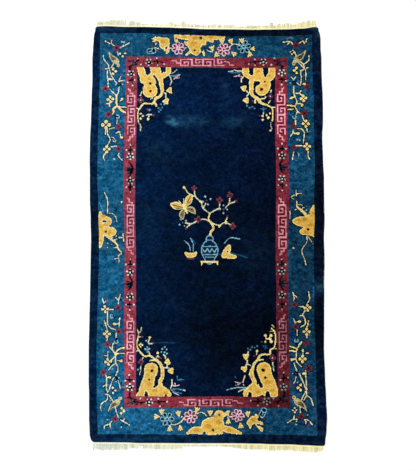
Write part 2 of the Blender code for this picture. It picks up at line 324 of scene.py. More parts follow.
class Pen:
    # a place on the rug from which a motif is drawn in its own millimetres

    def __init__(self, board, x=0.0, y=0.0, turn=0.0, flip=(1, 1), grown=1.0, only=None):
        self.board, self.x, self.y = board, x, y
        self.turn, self.flip, self.grown, self.only = turn, flip, grown, only

    def spot(self, x, y):
        angle = math.radians(self.turn)
        acrossPart = (x * math.cos(angle) - y * math.sin(angle)) * self.grown
        alongPart = (x * math.sin(angle) + y * math.cos(angle)) * self.grown
        return self.x + acrossPart * self.flip[0], self.y + alongPart * self.flip[1]

    def limb(self, points, half, straight):
        # a point without a half width of its own takes the stroke's
        placed = []
        for point in points:
            width = point[2] if len(point) > 2 else half
            placed.append((*self.spot(point[0], point[1]), width * self.grown))
        if len(placed) == 1:
            placed = placed * 2
        return np.array(placed) if straight or len(placed) < 3 else curve(placed)

    def draw(self, limbs, bands, cuts=(), half=3.4, straight=False):
        self.board.paint([self.limb(points, half, straight) for points in limbs], bands,
                         [self.limb(points, half, straight) for points in cuts], self.only)


def plain(wool):
    return ((0.0, wool),)


# how each kind of motif is filled, from the outside in; a 'shade' band is its ground's darker wool round the
# motif, partly a dark outline and partly painted shadow of the carved groove
fills = {
    "rock": ((3.0, "shade"), (-1.2, "cream"), (-5.4, "gold")),
    "bough": ((4.2, "shade"), (-0.9, "cream"), (-4.4, "gold")),
    "stem": ((4.2, "shade"), (-0.5, "straw")),
    "leaf": ((4.0, "shade"), (-0.8, "cream"), (-4.2, "gold")),
    "bud": ((4.6, "shade"), (-0.6, "cream"), (-4.8, "gold")),
    "tulip": ((2.4, "shade"), (0.0, "cream"), (-3.6, "gold")),
    "petal": ((1.2, "shade"), (-0.4, "darkRed")),
    "cherry": ((0.8, "shade"), (-0.4, "cherry")),
    "white": ((1.4, "shade"), (-0.5, "white")),
    "paleBlue": ((1.4, "shade"), (-0.4, "paleBlue")),
    "cream": ((1.8, "shade"), (-0.6, "cream")),
    "beige": ((1.4, "shade"), (-0.5, "beige")),
    "rose": ((1.0, "shade"), (-0.3, "peonyPink")),
    "curls": ((2.4, "shade"), (0.0, "paleBlue"), (-4.0, "ink")),
    "feathers": ((2.6, "shade"), (0.0, "beige"), (-4.0, "khaki")),
    "hole": ((2.8, "ochre"), (0.9, "bare")),
    "pit": ((0.9, "bare"),),
}


def around(count, radius, first=90.0):
    angles = [math.radians(first + 360 * index / count) for index in range(count)]
    return [(radius * math.cos(angle), radius * math.sin(angle)) for angle in angles]


def spokes(places, share, nearHalf, farHalf):
    # a short limb to each place, from that share of the way to it
    return [[(x * share, y * share, nearHalf), (x, y, farHalf)] for x, y in places]


def dots(places, half):
    return [[(x, y, half)] for x, y in places]


def goldQuad(pen):
    pen.draw(spokes(around(4, 12.6), 0.55, 4, 7.8), fills["bud"])
    pen.draw([[(0, 0, 4.4)]], plain("dimBlue"))
    pen.draw([[(0, 0, 2.5)]], plain("ink"))
    pen.draw(spokes(around(4, 13, 45), 0.6, 1.0, 1.6), fills["pit"])


def goldTriad(pen):
    pen.draw(spokes(((2, 14), (14, 0), (0, -13)), 0.8, 6, 7.4), fills["bud"])
    pen.draw([[(0, 0, 4)]], plain("ink"))


def redBlossom(pen):
    pen.draw(spokes(around(4, 11.5, 84), 0, 8.5, 6.8), fills["petal"])
    pen.draw(spokes(around(4, 10, 39), 0.45, 1.6, 1.6), plain("maroon"))
    pen.draw(spokes(around(4, 8, 84), 0.4, 1.6, 1.8), plain("maroon"))
    pen.draw([[(0, 0, 3.4)]], plain("ink"))


def redBud(pen):
    pen.draw([[(0, 0, 6.6)]], fills["cherry"])
    pen.draw([[(1, -1, 2.6)]], plain("maroon"))


def lightFlower(pen):
    pen.draw([[(0, 0, 11.5)]], plain("ink"))
    pen.draw(dots(around(4, 17.5), 4.6), fills["paleBlue"])
    pen.draw([[(0, 0, 3.8)]], plain("plum"))


def lightRing(pen):
    pen.draw([[(3, 17, 4.6)], [(-2, -17, 4.6)], [(-14, 2, 4)], [(0, 0, 12)]], plain("ink"))
    pen.draw([[(x, y, 2.7) for x, y in around(9, 8.6, 160)[:7]]], plain("paleBlue"))
    pen.draw([[(0, 0, 3.8)]], plain("plum"))


def goldBud(pen):
    pen.draw([[(-3.5, 0, 4.6), (3, 0.5, 7.2)]], fills["bud"])


def heartLeaf(pen):
    pen.draw([[(-11, -2, 3), (8, 8, 9)], [(-10, -3, 4), (9, -7, 8)], [(12, 12, 4), (14, -12, 4)]],
             fills["leaf"])
    pen.draw([[(2, 0, 5)]], plain("gold"))


def tulipBud(pen):
    # opens upwards with three points
    pen.draw([[(0, -8, 4), (0, 4, 8)], [(-4, 2, 5), (-11, 12, 2.5)], [(4, 2, 5), (11, 12, 2.5)],
              [(0, 4, 5), (0, 15, 2.5)]], fills["tulip"])


def peony(pen):
    pen.draw(spokes(around(7, 25, 96), 0, 15, 10.5), ((2.4, "shade"), (0.0, "peonyPink")))
    pen.draw(spokes(around(7, 23.5, 96), 0.6, 3.4, 6.4), plain("peonyHeart"))
    pen.draw(spokes(around(7, 23, 96), 0.7, 1.8, 3.4), plain("maroon"))
    pen.draw([[(0, 0, 9)]], ((0.0, "peonyPink"), (-4.4, "maroon")))


def bluePeony(pen):
    for petal in spokes(around(6, 25, 60), 0.5, 6, 11.6):
        pen.draw([petal], ((3.2, "shade"), (0.0, "paleBlue"), (-4.0, "ink")))
    pen.draw([[(0, 0, 9)]], ((0.0, "paleBlue"), (-4.0, "ink")))


def blueCurls(pen):
    pen.draw([[(-11, 2, 15), (11, 4, 15)]], fills["curls"])
    pen.draw([[(-14, -1, 1.7), (0, 3, 2), (5, 15, 1.7)], [(0, 3, 2), (8, -11, 1.7)]], plain("paleBlue"))


def whiteBlossom(pen):
    pen.draw([[(0, 0, 13)]] + spokes(around(5, 15.6), 0.5, 6, 6.6), plain("ink"))
    pen.draw(dots(around(5, 16), 5.2), ((-0.5, "white"),))
    pen.draw([[(0, 0, 4)]], plain("buff"))


def dottedTwig(pen):
    pen.draw([[(0, 24, 3.6), (0, 0, 4.2), (0, -15, 3)], [(-14, 0, 3.2), (0, 0, 4.4), (14, 0, 3.2)]],
             plain("ink"))
    pen.draw([[(0, 18, 4.8)], [(0, 0, 6)]], plain("ink"))
    pen.draw([[(0, 27, 4.6)], [(-20, 1, 5)], [(20, 1, 5)]], fills["white"])


def leafSpray(pen):
    # a curved stalk on the field's side, with a close fan of leaves that point outwards
    pen.draw([[(-14, 12, 2.4), (-4, 6, 5.4), (8, 2, 6)], [(-18, -14, 2.4), (-6, -7, 5.4), (6, -2, 6)]],
             plain("spruce"))
    pen.draw([[(-8, 44, 2.6), (4, 30, 4), (10, 14, 5.4), (9, -4, 6), (2, -20, 4.6), (-8, -32, 3)],
              [(-28, 1, 2.4), (-10, 0, 4.6), (8, 0, 5)], [(-20, 13, 1.8), (-6, 12, 2.6), (6, 7, 3)],
              [(-16, -20, 1.8), (-4, -13, 3.2), (7, -6, 4)]], plain("ink"))


def leafCross(pen):
    pen.draw([[(-26, 12, 2), (-10, 8, 4), (10, 0, 4), (24, -8, 2)],
              [(-24, -20, 2), (-8, -14, 4), (18, -9, 3)],
              [(-12, -36, 2.6), (-9, -20, 3.4), (0, -6, 4)], [(4, -2, 4), (18, 8, 3.4), (28, 20, 2.6)],
              [(-4, 4, 3), (4, 16, 1.8)]], plain("ink"))
    pen.draw([[(-14, 9, 2), (0, 1, 5), (8, -12, 3)]], plain("spruce"))


def smallBird(pen):
    pen.draw([[(-24, 42, 1.8), (-20, 30, 4.4), (-14, 19, 8)],
              [(-13, 17, 8), (-1, 5, 14), (11, -6, 16), (20, -17, 10)]], fills["feathers"])
    pen.draw([[(-15, 25, 2.4), (-9, 13, 6), (-1, 4, 8.4), (8, 1, 6)]], plain("olive"))
    pen.draw([[(-14, 24, 1.8), (-7, 15, 2.8), (2, 8, 3.4), (10, 4, 2.6)],
              [(-12, 10, 1.4), (-4, 0, 2.8), (4, -4, 2.2)]], plain("brown"))
    pen.draw([[(12, -12, 6), (19, -17, 4)]], plain("beige"))
    pen.draw([[(26, -31, 9)]], fills["feathers"])
    pen.draw([[(25, -31, 2.8)]], plain("brown"))
    pen.draw([[(38, -33, 3.6)]], plain("plum"))


motifs = {
    "goldQuads": goldQuad, "goldTriads": goldTriad, "redBlossoms": redBlossom, "redBuds": redBud,
    "lightFlowers": lightFlower, "lightRings": lightRing, "goldBuds": goldBud, "heartLeaves": heartLeaf,
    "tulipBuds": tulipBud, "peonies": peony, "bluePeonies": bluePeony, "blueCurls": blueCurls,
    "whiteBlossoms": whiteBlossom, "leafCrosses": leafCross, "smallBirds": smallBird,
}
# each kind of stroke and dot: how it is filled, and its half width where a point gives none
strokes = {
    "stems": (fills["stem"], 3.0), "boughs": (fills["bough"], 5.0), "whiteStrokes": (fills["white"], 2.8),
    "blueStrokes": (plain("blue"), 2.8), "paleStrokes": (fills["paleBlue"], 3.0),
    "redStrokes": (fills["cherry"], 3.2), "pinkStrokes": (fills["rose"], 2.6),
    "dimStrokes": (plain("dimBlue"), 3.0), "dullStrokes": (plain("dullBlue"), 2.6),
    "inkStrokes": (plain("ink"), 3.8), "beigeStrokes": (fills["beige"], 3.0),
    "creamDots": (fills["cream"], 6.0), "roseDots": (fills["rose"], 3.4), "strawDots": (fills["stem"], 5.2),
    "whiteDots": (fills["white"], 5.0), "paleDots": (fills["paleBlue"], 4.6),
    "dullDots": (plain("dullBlue"), 4.8),
}


def drawRock(pen, rock):
    pen.draw(rock["limbs"], fills["rock"], rock["cuts"])
    pen.draw([[hole] for hole in rock["holes"]], fills["hole"])
    for x, y, half in rock["ochre"]:
        pen.draw([[(x - half, y, half * 0.5), (x, y + 2, half), (x + half, y - 1, half * 0.6)]],
                 plain("ochre"))


def drawPlan(board, plan, rockGround=None):
    # strokes and motifs are drawn in the order in which the plan names them; a motif's row is
    # its x and y, and then, where they matter, its turn, its size and whether it is mirrored each way
    for kind, rows in plan.items():
        if kind == "rock":
            drawRock(Pen(board, only=rockGround), rows)
        elif kind in strokes:
            fill, half = strokes[kind]
            for row in rows:
                Pen(board).draw([row if isinstance(row, list) else [row]], fill, half=half)
        else:
            for row in rows:
                x, y, turn, grown, *flip = row + (0, 1.0, 1, 1)[len(row) - 2:]
                motifs[kind](Pen(board, x, y, turn, flip, grown))


def drawFret(board, box, cell):
    # an angular key fret, given as a chart: each line of the chart is one cell along the border
    chart = ("######", "#....#", "#.##.#", "#..#.#", "####.#", ".....#",
             "######", "#.....", "#.####", "#.#..#", "#.##.#", "#....#")
    repeat, lanes = len(chart), len(chart[0])
    left, right, low, high = box
    rows, columns = board.window((left, low), (right, high))
    x, y = board.x[rows, columns], board.y[rows, columns]
    if right - left > high - low:
        wide, along = (y - low) / (high - low) * lanes, (x - left) / cell
    else:
        wide, along = (x - left) / (right - left) * lanes, (high - y) / cell
    inside = (x > left) & (x < right) & (y > low) & (y < high)
    inside &= board.ground[rows, columns] == woolIndex("red")
    pattern = np.pad(np.array([[mark == "#" for mark in line] for line in chart]), ((0, 0), (1, 1)))
    line, place = np.floor(along).astype(int), np.clip(np.floor(wide).astype(int), 0, lanes - 1) + 1
    offAlong, offWide = along - line - 0.5, wide - place + 0.5
    nextLine = np.where(offAlong > 0, line + 1, line - 1)
    nextPlace = np.where(offWide > 0, place + 1, place - 1)
    nearAlong = abs(offAlong) < planValues["fretStroke"] / 2
    nearWide = abs(offWide) < planValues["fretStroke"] / 2
    lit = pattern[line % repeat, place] & (
        (nearWide & nearAlong)
        | (nearWide & pattern[nextLine % repeat, place])
        | (nearAlong & pattern[line % repeat, nextPlace]))
    here = board.wool[rows, columns]
    # the ground inside a fret is darker red: partly its own wool, partly painted shadow of the carved lines
    here[inside] = woolIndex("fretGroundAndShade")
    here[inside & lit] = woolIndex("pink")


print("design: motifs and their places, in millimetres from the middle of the rug")

# field: in the upper corners a rock hangs from the border, and in the lower ones it stands on it
fieldTopLeft = {
    "dullStrokes": [[(-188, 808, 3), (-165, 806, 4.5), (-146, 816, 2.5)]],
    "paleStrokes": [[(-292, 628), (-298, 630)]],
    "whiteStrokes": [[(-190, 819, 2), (-172, 824, 2.4), (-155, 841, 2.2)]],
    "pinkStrokes": [
        [(-172, 788, 2.4), (-160, 800, 2.6), (-140, 812, 2)], [(-165, 796, 2), (-142, 797, 2.4)],
    ],
    "redStrokes": [[(-152, 801), (-148, 797)], [(-304, 636, 2.6), (-310, 630, 2.6)]],
    "stems": [
        [(-196, 812), (-186, 790), (-183, 778), (-190, 760)], [(-336, 726, 2.6), (-345, 704, 3)],
        [(-302, 605), (-301, 592)], [(-312, 600), (-300, 604), (-286, 603)], [(-362, 636), (-350, 631)],
        [(-292, 684, 3), (-280, 690, 3)], [(-222, 718), (-212, 712), (-213, 692)],
    ],
    "rock": {
        "limbs": [
            [(-346, 850, 19), (-328, 803, 22), (-306, 768, 25), (-294, 730, 39)],
            [(-270, 852, 28), (-264, 818, 27), (-288, 785, 30)], [(-330, 790, 20), (-300, 745, 28)],
            [(-198, 851, 15), (-203, 828, 17), (-226, 808, 15), (-246, 802, 17)],
            [(-244, 806, 17), (-238, 776, 12), (-234, 745, 12), (-235, 720, 11), (-244, 700, 10),
             (-264, 690, 8)], [(-310, 720, 17), (-280, 722, 19)],
        ],
        "cuts": [[(-310, 866, 10), (-309, 822, 9)], [(-221, 864, 9), (-219, 832, 5)],
                 [(-275, 806, 4), (-262, 788, 5), (-257, 765, 5), (-248, 742, 5), (-247, 718, 5),
                  (-254, 704, 4)], [(-345, 762, 8), (-334, 756, 8)]],
        "holes": [(-294, 767, 5), (-292, 726, 5)],
        "ochre": [(-300, 790, 7), (-280, 828, 5), (-300, 742, 6), (-236, 770, 4)],
    },
    "boughs": [[(-262, 692, 7), (-274, 668, 6), (-286, 660, 5), (-326, 661, 5), (-344, 640, 4.5),
                (-355, 622, 4), (-358, 596, 3.6), (-353, 562, 3.6)], [(-272, 672, 5), (-262, 650, 6)]],
    "beigeStrokes": [[(-352, 560), (-342, 545), (-342, 518)]],
    "redBlossoms": [(-342, 680)],
    "redBuds": [(-276, 598, 0, 0.8)],
    "creamDots": [(-342, 607, 5.5), (-330, 595, 5.5), (-342, 582, 5.5), (-304, 580, 7)],
    "roseDots": [(-342, 680, 4.2)],
    "paleDots": [(-219, 657, 5)],
    "dullDots": [(-238, 657), (-250, 637), (-231, 640), (-240, 628), (-248, 619), (-298, 626, 6)],
    "heartLeaves": [(-198, 730), (-216, 674, -8)],
}
fieldTopRight = {
    "whiteStrokes": [[(112, 829, 2.4), (138, 833, 3)]],
    "stems": [
        [(140, 838), (160, 832), (188, 832)], [(194, 806), (180, 792), (178, 774)], [(334, 732), (329, 718)],
        [(328, 676), (318, 664)], [(278, 686), (298, 687), (304, 695)], [(205, 728), (216, 714), (206, 700)],
        [(292, 612), (290, 592)], [(352, 641), (338, 642)], [(290, 598), (284, 596)],
    ],
    "blueStrokes": [[(110, 828, 2.2), (138, 824, 3.4), (172, 822, 2.4)],
                    [(276, 634, 2), (292, 632, 2.6), (306, 636, 2)], [(292, 640, 2.6), (293, 618, 2)]],
    "pinkStrokes": [[(142, 803), (160, 808), (172, 812)], [(150, 808, 2), (178, 803, 2)]],
    "redStrokes": [[(170, 806, 2.4), (176, 798, 2)], [(234, 678, 2.6), (238, 672, 2.2)],
                   [(268, 600, 2.6), (274, 597, 2.2)]],
    "rock": {
        "limbs": [
            [(201, 850, 18), (204, 822, 20), (228, 802, 16)], [(266, 850, 25), (268, 806, 27)],
            [(338, 852, 18), (336, 812, 20), (316, 792, 20)],
            [(262, 800, 24), (300, 784, 26), (304, 750, 25), (285, 736, 35)],
            [(238, 800, 16), (230, 770, 13), (233, 742, 13), (230, 722, 12), (240, 704, 11), (262, 688, 9),
             (276, 670, 8)],
        ],
        "cuts": [
            [(231, 864, 11), (229, 820, 9)], [(304, 864, 14), (303, 826, 9), (303, 804, 4)],
            [(252, 763, 10), (266, 770, 9)], [(248, 754, 6), (247, 735, 4), (246, 716, 5), (258, 702, 4)],
            [(276, 697, 4), (304, 699, 4)],
        ],
        "holes": [(282, 736, 7), (300, 776, 3)],
        "ochre": [(204, 838, 4), (266, 828, 6), (322, 806, 6), (304, 756, 6), (232, 760, 4)],
    },
    "boughs": [[(266, 682, 8), (277, 666, 7), (300, 657, 5.5), (312, 652, 5), (332, 642, 4.5), (340, 625, 4),
                (341, 596, 3.8), (338, 570, 3.6)], [(250, 682, 4), (250, 666, 6)]],
    "beigeStrokes": [[(329, 562), (330, 545), (335, 530)]],
    "redBlossoms": [(328, 700, 0, 0.85)],
    "creamDots": [(309, 600, 6.5), (326, 610, 5.5), (318, 588, 8), (288, 577, 6.5), (329, 521, 5.5)],
    "roseDots": [(328, 699, 3.4)],
    "dullDots": [(207, 650), (221, 640), (235, 645), (246, 635)],
    "heartLeaves": [(195, 744, 215), (206, 682, 235)],
}
fieldLowLeft = {
    "whiteStrokes": [
        [(-178, -804, 2.4), (-150, -799, 2.6), (-112, -805, 3.4)], [(-170, -815), (-142, -828)],
    ],
    "blueStrokes": [[(-178, -800, 3), (-150, -798, 3.4), (-120, -801, 2.4)], [(-172, -810), (-128, -820)],
                    [(-148, -752), (-118, -751)], [(-150, -735), (-148, -748)]],
    "pinkStrokes": [
        [(-176, -780, 2), (-158, -782, 3.4), (-138, -778, 2)], [(-162, -768, 2), (-156, -784, 2)],
    ],
    "stems": [
        [(-177, -752), (-176, -775), (-184, -798)], [(-222, -696), (-205, -690), (-186, -697)],
        [(-202, -688), (-200, -668)], [(-208, -648), (-212, -632), (-220, -627)],
        [(-334, -684), (-336, -700)], [(-334, -706), (-341, -726)], [(-322, -640), (-330, -654)],
        [(-248, -630), (-256, -640)], [(-248, -634), (-238, -642)],
        [(-292, -575), (-296, -560), (-290, -545)], [(-290, -570), (-276, -570)],
        [(-346, -536), (-334, -536)], [(-288, -628), (-294, -612)], [(-358, -608), (-346, -606)],
    ],
    "redStrokes": [[(-332, -535), (-326, -538)], [(-274, -568), (-266, -569)], [(-240, -642), (-232, -645)]],
    "rock": {
        "limbs": [[(-282, -702, 36), (-292, -740, 30), (-302, -785, 36), (-316, -812, 30)],
                  [(-345, -828, 13), (-300, -815, 26), (-240, -816, 26), (-192, -826, 14)],
                  [(-286, -657, 5), (-262, -655, 7), (-240, -668, 9), (-229, -695, 10.5), (-226, -728, 12.5),
                   (-238, -764, 13), (-236, -795, 20), (-205, -812, 18)]],
        "cuts": [[(-290, -664, 3), (-264, -663, 4), (-246, -680, 4), (-239, -705, 5), (-243, -735, 7),
                  (-252, -752, 6), (-250, -774, 4), (-266, -787, 4)], [(-305, -846, 13), (-306, -815, 5)],
                 [(-207, -844, 9), (-206, -828, 4)], [(-344, -752, 14), (-336, -740, 12)]],
        "holes": [(-278, -707, 6.2), (-292, -752, 4)],
        "ochre": [(-276, -690, 8), (-290, -775, 10), (-262, -808, 9), (-226, -720, 5), (-210, -818, 8),
                  (-300, -728, 6)],
    },
    "boughs": [[(-250, -652, 5), (-262, -648, 4.6), (-290, -631, 4.6), (-315, -634, 4.4), (-344, -606, 4),
                (-355, -575, 3.6), (-350, -545, 3.4), (-346, -520, 3)]],
    "beigeStrokes": [[(-345, -522), (-353, -500)], [(-344, -518), (-334, -505), (-332, -488)]],
    "redBlossoms": [(-334, -662, 20, 0.9)],
    "creamDots": [(-335, -570, 5), (-327, -577, 5), (-335, -586, 5), (-342, -577, 5), (-290, -539, 6.5),
                  (-249, -617, 6.5)],
    "dullDots": [(-302, -600, 6.5)],
    "paleDots": [
        (-313, -597, 5), (-292, -597, 5), (-301, -588, 4.2), (-300, -612, 4.5), (-307, -556, 5),
        (-213, -587), (-226, -598), (-205, -600), (-231, -613), (-215, -614), (-203, -621), (-349, -701),
    ],
    "heartLeaves": [(-198, -657, 250), (-180, -712, 110)],
}
fieldLowRight = {
    "paleStrokes": [[(205, -793, 3), (170, -791, 4), (140, -793, 3), (100, -803, 2.4)]],
    "stems": [
        [(200, -799), (178, -802), (160, -811)], [(192, -732), (186, -750), (182, -765)],
        [(183, -774), (187, -780)], [(222, -682), (205, -674), (196, -682)], [(203, -668), (205, -655)],
        [(206, -628), (209, -612)], [(332, -666), (336, -690), (338, -706)], [(252, -626), (252, -614)],
        [(344, -596), (352, -596)],
    ],
    "redStrokes": [[(176, -762), (170, -772)], [(282, -563), (276, -562)], [(242, -634), (236, -634)],
                   [(322, -510), (316, -511)]],
    "pinkStrokes": [[(142, -762, 2), (160, -768, 2.4), (178, -770, 2)], [(144, -780, 2), (166, -774, 2)]],
    "dimStrokes": [[(286, -584), (304, -592)], [(298, -578), (294, -598)]],
    "blueStrokes": [[(142, -735, 2), (148, -745, 2)]],
    "rock": {
        "limbs": [[(288, -700, 37), (300, -740, 34), (318, -780, 34), (338, -818, 24)],
                  [(288, -792, 28), (242, -812, 28), (200, -824, 18)], [(300, -810, 26), (340, -826, 16)],
                  [(284, -651, 5), (262, -654, 7), (243, -668, 9), (234, -692, 8.5), (224, -722, 12),
                   (237, -752, 11), (240, -772, 13), (226, -795, 20), (200, -815, 16)]],
        "cuts": [[(286, -659, 3), (260, -664, 4), (247, -682, 4), (245, -710, 5), (252, -735, 6),
                  (264, -760, 6), (275, -784, 8)], [(217, -848, 11), (217, -822, 8)],
                 [(307, -848, 15), (307, -820, 9)]],
        "holes": [(285, -704, 8), (295, -741, 5)],
        "ochre": [(296, -682, 8), (306, -765, 10), (258, -812, 9), (226, -740, 5), (330, -806, 8),
                  (222, -800, 6)],
    },
    "boughs": [
        [(258, -652, 7), (268, -632, 6), (290, -624, 4.8), (316, -625, 4.8), (322, -612, 4.6),
         (323, -599, 4.6), (338, -593, 4.2), (345, -578, 4), (348, -545, 4), (344, -512, 3.8),
         (328, -494, 3.4)], [(300, -546, 4), (325, -548, 4)], [(312, -546, 3.6), (326, -532, 4)],
        [(302, -548, 3.6), (298, -533, 4)], [(318, -548, 3.6), (326, -560, 4)],
    ],
    "beigeStrokes": [[(330, -476), (341, -488)], [(324, -509), (334, -510)]],
    "redBlossoms": [(333, -643)],
    "creamDots": [(297, -530, 8), (325, -531, 8), (326, -560, 9), (297, -562, 5.5), (254, -608, 7)],
    "roseDots": [(333, -643, 3.6)],
    "dullDots": [(208, -595, 4.2), (221, -603, 4.2), (228, -588, 4.2), (241, -591, 4.2), (255, -583, 4.2),
                 (338, -688, 4.4)],
    "heartLeaves": [(196, -640, 80), (190, -702, 95)],
}

# teal border: its four lengths beside the field, and the half rock in the middle of each side
tealTopLeft = {
    "stems": [
        [(-467, 702), (-458, 722), (-454, 752)], [(-468, 704), (-488, 722), (-505, 739)],
        [(-511, 748), (-513, 780), (-517, 812), (-514, 836)],
        [(-464, 764), (-484, 790), (-500, 822), (-508, 848)], [(-511, 794), (-492, 787)],
        [(-510, 848), (-512, 865), (-534, 893), (-537, 914)], [(-496, 850), (-484, 872)],
        [(-457, 778), (-446, 803)], [(-452, 780), (-436, 782)], [(-463, 576), (-465, 554)],
        [(-478, 535), (-505, 528)], [(-523, 534), (-523, 500)],
        [(-513, 522), (-512, 500), (-500, 480), (-503, 462), (-512, 444)],
        [(-470, 506), (-452, 514), (-445, 490)], [(-494, 436), (-466, 440)],
        [(-520, 404), (-533, 386), (-526, 363)], [(-453, 402), (-454, 386), (-434, 364)],
        [(-529, 990), (-505, 977)], [(-496, 992), (-496, 978), (-478, 962)],
        [(-452, 954), (-430, 966), (-404, 980)], [(-432, 970), (-436, 960)], [(-465, 932), (-460, 915)],
        [(-450, 674), (-440, 680)], [(-520, 660), (-510, 661)], [(-504, 662), (-503, 646)],
        [(-527, 843), (-512, 846)], [(-519, 575), (-517, 566)], [(-488, 672), (-498, 668)],
    ],
    "boughs": [[(-418, 641, 4), (-444, 643, 4.5), (-464, 648, 6), (-468, 675, 5), (-467, 704, 6)],
               [(-422, 614, 5), (-444, 628, 6.5), (-462, 646, 5)],
               [(-470, 645, 5), (-484, 632, 6), (-482, 618, 4), (-488, 606, 3)]],
    "goldQuads": [(-500, 684, 5), (-521, 550, 0, 1.25), (-516, 423, 3)],
    "goldTriads": [(-487, 830, 4)],
    "goldBuds": [(-440, 684, 40), (-442, 483, -20), (-504, 789, 10, 0.8)],
    "redBlossoms": [(-526, 740), (-509, 604, 0, 1.1), (-456, 541), (-455, 425), (-469, 955, 30, 1.1)],
    "redBuds": [(-528, 660, 0, 0.7), (-536, 843), (-443, 812, 0, 0.8), (-427, 944, 0, 0.8), (-495, 999),
                (-514, 392, 0, 0.7)],
    "lightFlowers": [(-455, 762)],
    "lightRings": [(-462, 593, 80)],
    "whiteStrokes": [
        [(-494, 484, 2), (-484, 485, 2.2), (-471, 470, 2), (-472, 462, 2), (-484, 467, 2), (-493, 480, 2)],
    ],
    "redStrokes": [[(-483, 477, 2.6), (-478, 470, 2.6)]],
    "inkStrokes": [[(-472, 520, 4), (-462, 517, 4)]],
    "paleDots": [(-478, 372, 5.6), (-440, 986, 6), (-430, 984, 6), (-430, 783, 5), (-483, 737, 3.6)],
    "strawDots": [(-452, 924, 6), (-425, 925, 6), (-438, 909, 6)],
    "creamDots": [(-454, 778, 4)],
    "dullDots": [(-444, 395, 4)],
    "smallBirds": [(-486, 893)],
}
tealTopRight = {
    "stems": [
        [(458, 648), (465, 672), (457, 694), (450, 715), (449, 745)], [(458, 640), (470, 620), (482, 611)],
        [(470, 622), (461, 607)], [(440, 690), (454, 698)], [(464, 662), (484, 660)],
        [(462, 716), (480, 714), (498, 700)], [(488, 728), (478, 716)], [(487, 835), (489, 795), (486, 762)],
        [(487, 832), (505, 842)], [(511, 842), (513, 812), (512, 786)], [(468, 768), (482, 757)],
        [(505, 842), (500, 868), (480, 884)], [(498, 852), (488, 864), (476, 878)],
        [(500, 866), (528, 888), (530, 914)], [(457, 572), (458, 552)], [(492, 600), (501, 572)],
        [(515, 530), (520, 512)], [(466, 530), (490, 527), (502, 510), (500, 480), (497, 455)],
        [(445, 524), (441, 505), (430, 490)], [(458, 504), (446, 508)], [(452, 442), (490, 441)],
        [(448, 412), (440, 370)], [(522, 412), (521, 388), (529, 371)], [(395, 984), (432, 988), (446, 974)],
        [(432, 988), (418, 972)], [(478, 978), (500, 992)], [(500, 992), (508, 975)],
        [(520, 1004), (514, 986)], [(455, 935), (464, 912)], [(516, 848), (526, 850)],
        [(505, 765), (512, 758)], [(437, 800), (448, 790), (460, 800)],
    ],
    "boughs": [[(415, 652, 3.6), (440, 650, 4), (456, 646, 4.5)], [(418, 630, 3.6), (448, 632, 4)]],
    "goldQuads": [(499, 688, 6), (510, 556, 0, 1.05), (516, 438, 3)],
    "goldTriads": [(466, 836, 184)],
    "goldBuds": [(491, 655, -80), (436, 689, 20), (468, 505, -10), (504, 763, 10)],
    "redBlossoms": [(518, 750, 0, 1.1), (504, 609, 0, 1.15), (446, 545), (450, 430), (464, 968, 30, 1.1)],
    "redBuds": [(438, 810, 0, 0.7), (530, 851, 0, 0.8), (512, 668, 0, 0.6), (515, 778, 0, 0.8),
                (500, 410, 0, 0.8), (415, 966, 0, 0.7), (498, 1006), (508, 968, 0, 0.7)],
    "lightFlowers": [(450, 769)],
    "lightRings": [(452, 592)],
    "paleDots": [(466, 473, 5), (478, 470, 4.6)],
    "dullStrokes": [[(418, 1002, 2.4), (428, 1008, 3), (438, 1009, 3), (446, 1003, 2.4)],
                    [(456, 368, 3), (464, 362, 2.4)]],
    "paleStrokes": [[(466, 404, 2.2), (474, 396, 2.8), (472, 384, 2.2)]],
    "strawDots": [(435, 932, 5), (447, 941, 5), (441, 921, 5), (452, 930, 4.4)],
    "inkStrokes": [
        [(438, 931, 3), (441, 930, 3)], [(446, 474, 4), (450, 477, 4)], [(456, 398, 3), (460, 396, 3)],
    ],
    "smallBirds": [(482, 900, 8, 1.05, -1)],
}
